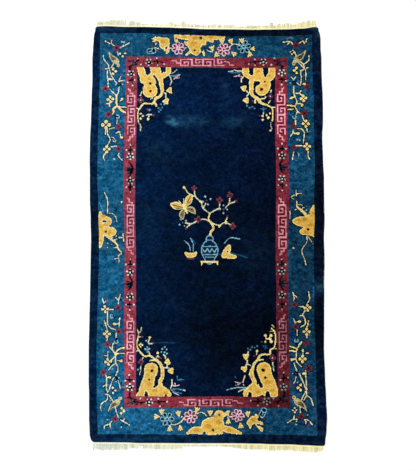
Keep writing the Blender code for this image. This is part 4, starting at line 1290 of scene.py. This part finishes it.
def boardColours(board, dull=0.0):
    x, y = board.x, board.y
    # each knot's colour runs from its wool's colour with painted sheen on the left to its colour in painted
    # shade on the right
    left, right = (np.array([wools[name][side] for name in woolNames], float)[board.wool] for side in (0, 1))
    lean = (x - dyeAndShadeValues["leanFrom"]) / dyeAndShadeValues["leanOver"]
    lean = np.clip(lean + dyeAndShadeValues["leanWander"] * (cloud(x, y, "lean") - 0.5), 0, 1)[..., None]
    colours = left + (right - left) * lean
    streaks, lots, blots, speckle, patches = (mottled(x, y, name) for name in mottles)
    gain = 1 + (dyeAndShadeValues["streaks"] * streaks + dyeAndShadeValues["lots"] * lots)
    for names, (lotShare, blotShare) in abrash.items():
        isWool = np.isin(board.wool, [woolIndex(name) for name in names])
        gain = gain + isWool * (lotShare * lots + blotShare * blots)
    groundShare = {name: np.where(board.wool == woolIndex(name), 1, motif) * (board.ground == woolIndex(name))
                   for name, motif in motifLightAndShadeShare.items()}
    # painted light and shade over each ground, in the places listed
    for name, places in paintedLightAndShadePlaces.items():
        for placeX, placeY, halfX, halfY, change in places:
            away = ((x - placeX) / halfX) ** 2 + ((y - placeY) / halfY) ** 2
            gain += groundShare[name] * change * np.exp(-away)
    for name, (fine, coarse, streaky) in mottlePlaces.items():
        gain += groundShare[name] * streaky * streaks
        colours += (groundShare[name] * (fine * speckle + coarse * patches))[..., None]
    colours = colours * gain[..., None]
    isNavy = np.isin(board.wool, [woolIndex("field"), woolIndex("guard")])
    least, wander = dyeAndShadeValues["wornWander"]
    patchy = least + wander * cloud(x, y, "wear")
    for placeX, placeY, halfX, halfY, strength in wornPlaces:
        away = np.hypot((x - placeX) / halfX, (y - placeY) / halfY)
        wear = strength * np.clip(dyeAndShadeValues["wornReach"] - away, 0, 1) * patchy
        wear = (np.clip(wear, 0, 1) * isNavy)[..., None]
        colours = mixed(colours, np.array(dyeAndShadeValues["worn"]), wear)
    draw = np.random.default_rng(5)
    colours *= 1 + dyeAndShadeValues["knotShade"] * draw.standard_normal(x.shape)[..., None]
    colours += dyeAndShadeValues["fleck"] * draw.standard_normal(x.shape)[..., None]
    colours = mixed(colours, np.array(dyeAndShadeValues["cotton"]), dull)
    return linearColour(colours).reshape(-1, 3) / dyeAndShadeValues["exposure"]


def faceMeans(values):
    return (values[:-1, :-1] + values[1:, :-1] + values[:-1, 1:] + values[1:, 1:]) / 4


def buildBoard(coarseness, inset):
    bandX, shareX = gridLines(planValues["knotsAcross"], coarseness)
    bandY, shareY = gridLines(planValues["knotsAlong"], coarseness)
    x, y, inward = placeLines(bandX, shareX, bandY, shareY, inset)
    board = KnotBoard(faceMeans(x), faceMeans(y), bandX[:-1], bandY[:-1])
    drawDesign(board)
    return x, y, inward, board


def pileHeights(x, y, inward, board):
    heights = np.interp(inward, pileValues["profileIn"], pileValues["profileUp"])
    heights += pileValues["waveHeight"] * (cloud(x, y, "waves") - pileValues["waveMiddle"])
    jitter = np.random.default_rng(6).standard_normal(x.shape) * pileValues["knotJitter"]
    raised = ~np.isin(board.wool, [woolIndex(name) for name in (*shadeOf, *shadeOf.values())])
    kinds = np.pad(board.ground * 2 + raised, 1, mode="edge")
    around4 = np.stack([kinds[:-1, :-1], kinds[1:, :-1], kinds[:-1, 1:], kinds[1:, 1:]])
    carved = around4.max(0) != around4.min(0)
    inside = np.clip((inward - pileValues["reliefFrom"]) / pileValues["reliefOver"], 0, 1)
    return heights + inside * (jitter - pileValues["carved"] * carved)


def closeBelow(piece, foot, rings):
    # walls from the open borders down to the foundation, and a plain underside
    pick(piece)
    editOpenEdges(bpy.ops.mesh.extrude_edges_move)
    lowered = readAll(piece.data.vertices, "select", kind=bool)
    x, y, z = readAll(piece.data.vertices, "co", 3).T * 1000
    placePoints(piece, x, y, np.where(lowered, foot, z))
    setMode("EDIT")
    if rings == 2:
        bpy.ops.mesh.bridge_edge_loops()
    else:
        bpy.ops.mesh.edge_face_add()
    setMode("OBJECT")
    faceOutwards()


def splitPile(border, zones):
    # parts the other grounds from the knotted sheet; what is left of it is the outermost border
    border.data.attributes.new("zone", "INT", "FACE").data.foreach_set("value", zones.ravel())
    pieces = [border]
    for zone, name in list(enumerate(pileGrounds))[1:]:
        pick(border)
        bpy.context.tool_settings.mesh_select_mode = (False, False, True)
        inZone = readAll(border.data.attributes["zone"].data, "value", kind=np.int32) == zone
        setMode("EDIT")
        bpy.ops.mesh.select_all(action="DESELECT")
        setMode("OBJECT")
        border.data.polygons.foreach_set("select", inZone)
        setMode("EDIT")
        bpy.ops.mesh.separate(type="SELECTED")
        setMode("OBJECT")
        piece = [other for other in bpy.context.selected_objects if other != border][0]
        piece.name = piece.data.name = name
        pieces.append(piece)
    for piece in pieces:
        piece.data.attributes.remove(piece.data.attributes["zone"])
    return pieces


def buildPile():
    x, y, inward, board = buildBoard(1, (planValues["selvage"], planValues["endLip"]))
    border = layGrid("guardBorder", x, y, pileHeights(x, y, inward, board))
    paintFaces(border, boardColours(board))
    zones = np.zeros(board.ground.shape, np.int32)
    for zone, (name, ground) in enumerate(pileGrounds.items()):
        zones[(board.ground == woolIndex(ground)) & ((name != "fieldUpper") | (board.y > 0))] = zone
    pieces = splitPile(border, zones)
    for piece, ground in zip(pieces, pileGrounds.values()):
        knots = len(piece.data.polygons)
        closeBelow(piece, pileValues["footHeight"], 1 if ground == "field" else 2)
        total = len(piece.data.polygons)
        corners = readAll(piece.data.polygons, "loop_total", kind=int)
        wool = piece.data.color_attributes["wool"]
        colours = readAll(wool.data, "color", 4, np.float32)
        below = np.repeat(np.arange(total) >= knots, corners)
        colours[below] = (*linearColour(np.mean(wools[ground], axis=0)), 1)
        wool.data.foreach_set("color", colours.ravel())
        pick(piece)
        smooth(pileValues["smoothAngle"])
        print("  ", piece.name, knots, "knots", total, "faces")
    return pieces


pilePieces = buildPile()

print("foundation: the woven back")

foundationValues = {
    "coarseness": 2.6,
    "inset": (2.4, 0.4),
    "thickness": 3.0,
    "backRipple": 0.12,
    "rippleInset": 4,  # mm of the edge that lie flat on the floor
    "smoothAngle": 40,
}


def buildFoundation():
    x, y, inward, board = buildBoard(foundationValues["coarseness"], foundationValues["inset"])
    ripple = np.random.default_rng(8).random(x.shape) * foundationValues["backRipple"]
    back = layGrid("foundation", x, y, ripple * (inward > foundationValues["rippleInset"]))
    paintFaces(back, boardColours(board, dyeAndShadeValues["cottonShare"]))
    editAll(bpy.ops.mesh.flip_normals)
    closeBelow(back, foundationValues["thickness"], 1)
    smooth(foundationValues["smoothAngle"])
    return back


foundation = buildFoundation()

print("selvages: overcast long edges")

selvageValues = {
    "pitch": 2.5,  # mm from one wrap of the overcasting to the next
    "ringsPerWrap": 3,
    "sides": 8,
    "halfWidth": 2.35,
    "halfHeight": 1.9,
    "lift": 1.02,  # where the cord's middle is, in half heights
    "rib": 0.16,  # how far the thread sinks between two wraps
    "ends": (-1052, 1046),
    "taper": 0.55,
    "slant": 0.5,  # mm by which each wrap leans along the rug
    "swells": ((0.05, 0.013, 1.2), (0.03, 0.071, 0.0)),  # slow waves in its thickness
    "floorGap": 0.02,
    "cornerTurn": {"L": (24, 12), "R": (18, 12)},
    "cornerShare": 0.55,
    "weld": 0.00002,
    "smoothAngle": 70,
    "brightness": 1.1,
    "wrapShades": (0.8, 0.45),
    "shadeCount": 4000,
    "wornFrom": {"L": 0.86, "R": 0.66},
    "wornSlope": 6,
    "wornShades": (0.4, 0.6),
    "worn": (170, 158, 122),
}


def selvageColours(side, x, y):
    wraps = np.floor(y / selvageValues["pitch"]).astype(int)
    shades = np.random.default_rng(12).random(selvageValues["shadeCount"])
    shade = shades[wraps + len(shades) // 2]
    dark, light = selvageValues["wrapShades"]
    # the left cord takes the guard's colour with painted sheen, the right cord its colour in painted shade
    navy = np.array(wools["guard"][0 if side == "L" else 1], float) * selvageValues["brightness"]
    worn = (cloud(x, y, "worn" + side) - selvageValues["wornFrom"][side]) * selvageValues["wornSlope"]
    least, more = selvageValues["wornShades"]
    worn = np.clip(worn, 0, 1) * (least + more * shade)
    colours = navy[None, :] * (dark + light * shade[:, None])
    return linearColour(mixed(colours, np.array(selvageValues["worn"]), worn[:, None]))


def buildSelvage(name, side):
    inwardWay = 1 if side == "L" else -1
    low, high = selvageValues["ends"]
    rings = int((high - low) / selvageValues["pitch"] * selvageValues["ringsPerWrap"])
    sides = selvageValues["sides"]
    tube, spoke, along = newGrid(name, sides, rings)
    y = low + (high - low) * along / rings
    edge = tableValue(alongRows, alongColumns.index("edge" + side), y)
    middle = edge + inwardWay * selvageValues["halfWidth"]
    lowTurn, highTurn = selvageValues["cornerTurn"][side]
    for turn, away in ((lowTurn, y - low), (highTurn, high - y)):
        short = np.clip(1 - away / turn, 0, 1)
        middle += inwardWay * turn * selvageValues["cornerShare"] * (1 - np.sqrt(1 - short ** 2))
    wrap = np.array([1.0, 1.0 - selvageValues["rib"], 1.0])[along % selvageValues["ringsPerWrap"]]
    taper = np.where((along == 0) | (along == rings), selvageValues["taper"], 1.0)
    angle = 2 * math.pi * (spoke % sides) / sides + math.pi / sides
    uneven = sum((size * np.sin(y * pace + start) for size, pace, start in selvageValues["swells"]), 1)
    half = selvageValues["halfWidth"] * wrap * taper * uneven
    z = selvageValues["halfHeight"] * (selvageValues["lift"] + wrap * taper * np.sin(angle))
    placePoints(tube, middle + half * np.cos(angle), y + selvageValues["slant"] * np.cos(angle),
                np.maximum(z, selvageValues["floorGap"]))
    editAll(bpy.ops.mesh.remove_doubles, threshold=selvageValues["weld"])
    editOpenEdges(bpy.ops.mesh.fill_holes, sides=0)
    faceOutwards()
    smooth(selvageValues["smoothAngle"])
    centres = readAll(tube.data.polygons, "center", 3) * 1000
    paintFaces(tube, selvageColours(side, centres[:, 0], centres[:, 1]))
    return tube


selvages = [buildSelvage("selvageLeft", "L"), buildSelvage("selvageRight", "R")]

print("ends: kilim strips and fringe")

stripValues = {
    "width": 9.0,
    "top": 2.5,
    "thickness": 0.0016,  # metres
    "gap": 0.4,  # mm between the pile and the strip
    "cell": 2.0,
    "rows": 6,
    "weave": 0.35,  # mm that the weave stands up and down
    "fray": 1.6,
    "frayDrop": 0.5,
    "smoothAngle": 75,
}
yarnValues = {
    "count": 1050,
    "bundle": 9,  # yarns in each knotted-off bundle
    "half": 0.72,
    "sides": 5,
    "steps": 7,
    "apart": 4,  # how far apart the yarns are made, before they are placed
    "margin": 2,  # mm from the strip's corners to the first yarn
    "hidden": 3.5,  # mm of each yarn that lie under the strip
    "wander": 0.4,
    "bundleReach": (0.94, 0.12),
    "reach": (0.8, 1.04),
    "least": 3,
    "further": 4,
    "bundleLean": 0.07,
    "bundleBend": 1.4,
    "bundleWaves": 2.6,
    "bend": 1.6,
    "waves": 5,
    "turn": 6.3,
    "gather": 0.55,
    "drawnIn": 0.12,
    "tipFrom": 0.999,
    "taper": 0.55,
    "floorGap": 0.25,
    "rise": (1.6, 0.8),
    "settle": (1.2, 0.25),  # how soon a raised yarn comes down again
    "lowest": 0.05,
    "smoothAngle": 80,
    "tone": (0.85, 1.01),
    "bundleTone": (0.93, 1.06),
}
# each end: which way it points, its edge in the plan, how far its strip stays from the corners, the seeds of
# its strip and its yarns; its fringe from the left, as where each stretch ends and how far its yarns reach
# past the strip; and its cotton from the left, as x and colour
endValues = {
    "top": {
        "out": 1, "edge": "edgeT", "row": -1, "margins": (9, 11), "stripSeed": 51, "yarnSeed": 61,
        "fringe": [(-510, 20), (-424, 29), (-404, 5), (-374, 27), (-345, 19), (-200, 9), (-176, 24),
                   (-142, 13), (-112, 30), (30, 15), (54, 22), (144, 18), (170, 4), (208, 9), (326, 15),
                   (346, 32), (368, 16), (408, 23), (438, 27), (470, 17), (496, 27), (536, 32), (600, 29)],
        "cotton": [(-580, 238, 236, 202), (-300, 246, 245, 214), (0, 248, 246, 214), (300, 243, 238, 192),
                   (600, 244, 238, 184)],
    },
    "bottom": {
        "out": -1, "edge": "edgeB", "row": 0, "margins": (11, 9), "stripSeed": 52, "yarnSeed": 62,
        "fringe": [(-570, 35), (-545, 28), (-449, 32), (-390, 30), (-346, 20), (-322, 6), (-264, 20),
                   (-150, 24), (-118, 20), (90, 8), (133, 11), (169, 18), (308, 22), (350, 24), (436, 22),
                   (462, 27), (556, 25), (580, 18), (610, 10)],
        "cotton": [(-580, 236, 242, 226), (-250, 246, 246, 212), (0, 248, 247, 216), (200, 248, 242, 190),
                   (600, 252, 242, 182)],
    },
}


def endEdge(end, x):
    return tableValue(acrossRows, acrossColumns.index(end["edge"]), x)


def stripSpan(end):
    corner = alongRows[end["row"]]
    return corner[1] + end["margins"][0], corner[-1] - end["margins"][1]


def cottonColours(end, x, gain):
    stations = np.array(end["cotton"], float)
    colours = np.column_stack([np.interp(x, stations[:, 0], stations[:, part]) for part in (1, 2, 3)])
    return linearColour(colours * np.asarray(gain).reshape(-1, 1))


def buildStrip(name, end):
    lowX, highX = stripSpan(end)
    columns, rows = int((highX - lowX) / stripValues["cell"]), stripValues["rows"]
    strip, across, along = newGrid(name, columns, rows)
    frayed = np.random.default_rng(end["stripSeed"]).random(columns + 1)[across] - 0.5
    frayed = frayed * stripValues["fray"] * (along == rows)
    x = lowX + (highX - lowX) * across / columns
    outer = (along / rows) * (stripValues["width"] - stripValues["gap"])
    y = endEdge(end, x) + end["out"] * (stripValues["gap"] + outer + frayed)
    z = stripValues["top"] - stripValues["weave"] + stripValues["weave"] * ((across + along) % 2)
    placePoints(strip, x, y, z - stripValues["frayDrop"] * (along == rows))
    faceOutwards()
    if strip.data.polygons[0].normal.z < 0:
        editAll(bpy.ops.mesh.flip_normals)
    thick = strip.modifiers.new("thickness", "SOLIDIFY")
    thick.thickness = stripValues["thickness"]
    thick.offset = -1
    bpy.ops.object.modifier_apply(modifier=thick.name)
    smooth(stripValues["smoothAngle"])
    centres = readAll(strip.data.polygons, "center", 3) * 1000
    paintFaces(strip, cottonColours(end, centres[:, 0], 1.0))
    return strip


def newYarns(name):
    # one yarn is modelled along z, and the others are copies of it, side by side
    steps = yarnValues["steps"]
    bpy.ops.object.select_all(action="DESELECT")
    bpy.ops.mesh.primitive_cylinder_add(vertices=yarnValues["sides"], radius=1, depth=1,
                                        end_fill_type="TRIFAN")
    yarns = bpy.context.object
    yarns.name = yarns.data.name = name
    for cut in range(1, steps):
        editAll(bpy.ops.mesh.bisect, plane_co=(0, 0, cut / steps - 0.5), plane_no=(0, 0, 1))
    row = yarns.modifiers.new("yarns", "ARRAY")
    row.count = yarnValues["count"]
    row.use_relative_offset = False
    row.use_constant_offset = True
    row.constant_offset_displace = (yarnValues["apart"], 0, 0)
    bpy.ops.object.modifier_apply(modifier=row.name)
    return yarns


def buildFringe(name, end):
    fringe = newYarns(name)
    draw = np.random.default_rng(end["yarnSeed"])
    points = readAll(fringe.data.vertices, "co", 3)
    count, half, margin, turn = (yarnValues[key] for key in ("count", "half", "margin", "turn"))
    yarn = np.arange(len(points)) // (len(points) // count)
    share = points[:, 2] + 0.5
    bundleOf = np.arange(count) // yarnValues["bundle"]
    bundles = count // yarnValues["bundle"] + 2
    lowX, highX = stripSpan(end)
    start = lowX + margin + (highX - lowX - 2 * margin) * (np.arange(count) + 0.5) / count
    start += draw.uniform(-yarnValues["wander"], yarnValues["wander"], count)
    ends, lengths = np.array(end["fringe"], float).T
    reach = lengths[np.clip(np.searchsorted(ends, start), 0, len(ends) - 1)]
    least, more = yarnValues["bundleReach"]
    reach = reach * (least + more * draw.random(bundles)[bundleOf])
    reach = reach * draw.uniform(*yarnValues["reach"], count)
    reach = np.maximum(reach, yarnValues["least"]) + yarnValues["further"]
    bundleLean = draw.uniform(-yarnValues["bundleLean"], yarnValues["bundleLean"], bundles)
    bundleBend = draw.uniform(-yarnValues["bundleBend"], yarnValues["bundleBend"], bundles)
    bundlePhase = draw.uniform(0, turn, bundles)
    bend = draw.uniform(-yarnValues["bend"], yarnValues["bend"], count)
    phase = draw.uniform(0, turn, count)
    lift = draw.uniform(0, 1, count)
    gather = yarnValues["gather"] * (np.arange(count) % yarnValues["bundle"] - (yarnValues["bundle"] - 1) / 2)
    bundle = bundleOf[yarn]
    far = share * reach[yarn]
    sway = bundleLean[bundle] * far
    sway += bundleBend[bundle] * np.sin(share * yarnValues["bundleWaves"] + bundlePhase[bundle]) * share
    sway += bend[yarn] * np.sin(share * yarnValues["waves"] + phase[yarn]) * share
    sway -= yarnValues["drawnIn"] * gather[yarn] * share
    taper = np.where(share > yarnValues["tipFrom"], yarnValues["taper"], 1.0)
    x = start[yarn] + sway + half * (points[:, 0] - yarn * yarnValues["apart"]) * taper
    base = endEdge(end, start) + end["out"] * (stripValues["width"] - yarnValues["hidden"])
    nearRise, tipDrop = yarnValues["rise"]
    settled, least = yarnValues["settle"]
    loose = (nearRise - tipDrop * share) * lift[yarn] * np.clip(settled - share, least, 1)
    rise = half + yarnValues["floorGap"] + loose
    z = np.maximum(rise + half * points[:, 1] * taper, yarnValues["lowest"])
    placePoints(fringe, x, base[yarn] + end["out"] * far, z)
    faceOutwards()
    smooth(yarnValues["smoothAngle"])
    tone = draw.uniform(*yarnValues["tone"], count)
    tone = tone * draw.uniform(*yarnValues["bundleTone"], bundles)[bundleOf]
    faces = len(fringe.data.polygons)
    faceYarn = np.arange(faces) // (faces // count)
    paintFaces(fringe, cottonColours(end, start[faceYarn], tone[faceYarn]))
    return fringe


topStrip = buildStrip("topKilimStrip", endValues["top"])
bottomStrip = buildStrip("bottomKilimStrip", endValues["bottom"])
topYarns = buildFringe("topFringeYarns", endValues["top"])
bottomYarns = buildFringe("bottomFringeYarns", endValues["bottom"])

print("materials")

# each finish: how its light is spread, how much painted shade sits between its tufts and how much its yarn
# shows in relief, and how fine its tufts and its fibres are
finishColumns = ("specular", "roughness", "sheen", "tuftShade", "bump", "tuftScale", "fibreScale")
finishRows = {
    "pileWool": (0.006, 0.92, 0.006, 0.5, 0.6, 420, 1900),
    "backWool": (0.1, 0.95, 0.0, 0.35, 0.4, 300, 1500),
    "overcastWool": (0.02, 0.9, 0.01, 0.5, 0.5, 500, 2200),
    "undyedCotton": (0.1, 0.88, 0.02, 0.3, 0.4, 700, 2600),
}
fibreValues = {
    "detail": 3,
    "tuftDepth": -0.8,
    "shade": {"From Min": -0.25, "From Max": 0.65, "To Min": 0.62, "To Max": 1.22},
    "sheenRoughness": 0.6,
    "bumpDistance": 0.0006,
}


def setInputs(node, values):
    for socket, value in values.items():
        node.inputs[socket].default_value = value


def fibreGroup():
    # spun yarn close up: tuft ends, single fibres, and the height of both
    group = bpy.data.node_groups.new("spunYarn", "ShaderNodeTree")
    for name, way, kind in (("Color", "INPUT", "Color"), ("Tuft Scale", "INPUT", "Float"),
                            ("Fibre Scale", "INPUT", "Float"), ("Contrast", "INPUT", "Float"),
                            ("Color", "OUTPUT", "Color"), ("Height", "OUTPUT", "Float")):
        group.interface.new_socket(name=name, in_out=way, socket_type="NodeSocket" + kind)
    nodes, links = group.nodes, group.links
    inside, outside = nodes.new("NodeGroupInput"), nodes.new("NodeGroupOutput")
    place = nodes.new("ShaderNodeTexCoord")
    tufts = nodes.new("ShaderNodeTexVoronoi")
    fibres = nodes.new("ShaderNodeTexNoise")
    setInputs(fibres, {"Detail": fibreValues["detail"]})
    links.new(place.outputs["Object"], tufts.inputs["Vector"])
    links.new(place.outputs["Object"], fibres.inputs["Vector"])
    links.new(inside.outputs["Tuft Scale"], tufts.inputs["Scale"])
    links.new(inside.outputs["Fibre Scale"], fibres.inputs["Scale"])
    height = nodes.new("ShaderNodeMath")
    height.operation = "MULTIPLY_ADD"
    height.inputs[1].default_value = fibreValues["tuftDepth"]
    links.new(tufts.outputs["Distance"], height.inputs[0])
    links.new(fibres.outputs["Fac"], height.inputs[2])
    # the colour darkens where tufts and fibres sit low: painted shade between the tufts, partly uneven fibre
    # tone
    shade = nodes.new("ShaderNodeMapRange")
    setInputs(shade, fibreValues["shade"])
    links.new(height.outputs[0], shade.inputs["Value"])
    tinted = nodes.new("ShaderNodeMix")
    tinted.data_type = "RGBA"
    tinted.blend_type = "MULTIPLY"
    tinted.clamp_result = False
    links.new(inside.outputs["Contrast"], tinted.inputs["Factor"])
    links.new(inside.outputs["Color"], tinted.inputs["A"])
    links.new(shade.outputs["Result"], tinted.inputs["B"])
    links.new(tinted.outputs["Result"], outside.inputs["Color"])
    links.new(height.outputs[0], outside.inputs["Height"])
    return group


spunYarn = fibreGroup()


def yarnMaterial(name, row):
    values = dict(zip(finishColumns, row))
    material = bpy.data.materials.new(name)
    material.use_nodes = True
    nodes, links = material.node_tree.nodes, material.node_tree.links
    shader = nodes["Principled BSDF"]
    setInputs(shader, {"Roughness": values["roughness"], "Specular IOR Level": values["specular"],
                       "Sheen Weight": values["sheen"], "Sheen Roughness": fibreValues["sheenRoughness"]})
    colour = nodes.new("ShaderNodeVertexColor")
    colour.layer_name = "wool"
    yarn = nodes.new("ShaderNodeGroup")
    yarn.node_tree = spunYarn
    setInputs(yarn, {"Tuft Scale": values["tuftScale"], "Fibre Scale": values["fibreScale"],
                     "Contrast": values["tuftShade"]})
    bump = nodes.new("ShaderNodeBump")
    setInputs(bump, {"Strength": values["bump"], "Distance": fibreValues["bumpDistance"]})
    links.new(colour.outputs["Color"], yarn.inputs["Color"])
    links.new(yarn.outputs["Color"], shader.inputs["Base Color"])
    links.new(yarn.outputs["Height"], bump.inputs["Height"])
    links.new(bump.outputs["Normal"], shader.inputs["Normal"])
    return material


materials = {name: yarnMaterial(name, row) for name, row in finishRows.items()}
for pieces, name in ((pilePieces, "pileWool"), ([foundation], "backWool"), (selvages, "overcastWool"),
                     ([topStrip, bottomStrip, topYarns, bottomYarns], "undyedCotton")):
    for piece in pieces:
        piece.data.materials.clear()
        piece.data.materials.append(materials[name])

print("frame: what each piece stands for")

for piece in pilePieces + selvages + [foundation]:
    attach(piece, "root")
    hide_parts("rug_body")
for piece in (topStrip, topYarns):
    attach(piece, "root")
    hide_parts("top_fringe")
for piece in (bottomStrip, bottomYarns):
    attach(piece, "root")
    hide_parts("bottom_fringe")

print("stage: floor, light and camera")

stageValues = {
    "floorSize": 14.0,
    "floorColour": (0.88, 0.88, 0.88),
    "floorRoughness": 0.9,
    "worldStrength": 0.72,
    "keyPower": 150.0, "keySize": 3.2, "keyPlace": (-1.1, 0.7, 4.2),
    "cameraDistance": 3.0, "cameraTilt": 2.8, "lens": 44.68, "aim": (0.005646, -0.021557, 0.0),
}
bpy.ops.object.select_all(action="DESELECT")
bpy.ops.mesh.primitive_plane_add(size=stageValues["floorSize"], location=(0, 0, 0))
floor = bpy.context.object
floor.name = floor.data.name = "floor"
floorPaint = bpy.data.materials.new("paleFloor")
floorPaint.use_nodes = True
setInputs(floorPaint.node_tree.nodes["Principled BSDF"],
          {"Base Color": (*stageValues["floorColour"], 1), "Roughness": stageValues["floorRoughness"]})
floor.data.materials.append(floorPaint)

world = bpy.data.worlds.new("studio")
bpy.context.scene.world = world
world.use_nodes = True
setInputs(world.node_tree.nodes["Background"],
          {"Color": (1, 1, 1, 1), "Strength": stageValues["worldStrength"]})

key = bpy.data.lights.new("key", "AREA")
key.shape = "SQUARE"
key.size = stageValues["keySize"]
key.energy = stageValues["keyPower"]
keyObject = bpy.data.objects.new("key", key)
bpy.context.scene.collection.objects.link(keyObject)
keyObject.location = stageValues["keyPlace"]
keyObject.rotation_euler = (-Vector(stageValues["keyPlace"])).to_track_quat("-Z", "Y").to_euler()

tilt = math.radians(stageValues["cameraTilt"])
camera = bpy.data.cameras.new("camera")
camera.lens = stageValues["lens"]
cameraObject = bpy.data.objects.new("camera", camera)
bpy.context.scene.collection.objects.link(cameraObject)
cameraWay = Vector((0, -math.sin(tilt), math.cos(tilt)))
cameraObject.location = Vector(stageValues["aim"]) + stageValues["cameraDistance"] * cameraWay
cameraObject.rotation_euler = (tilt, 0, 0)
bpy.context.scene.camera = cameraObject
bpy.context.scene.view_settings.view_transform = "Standard"
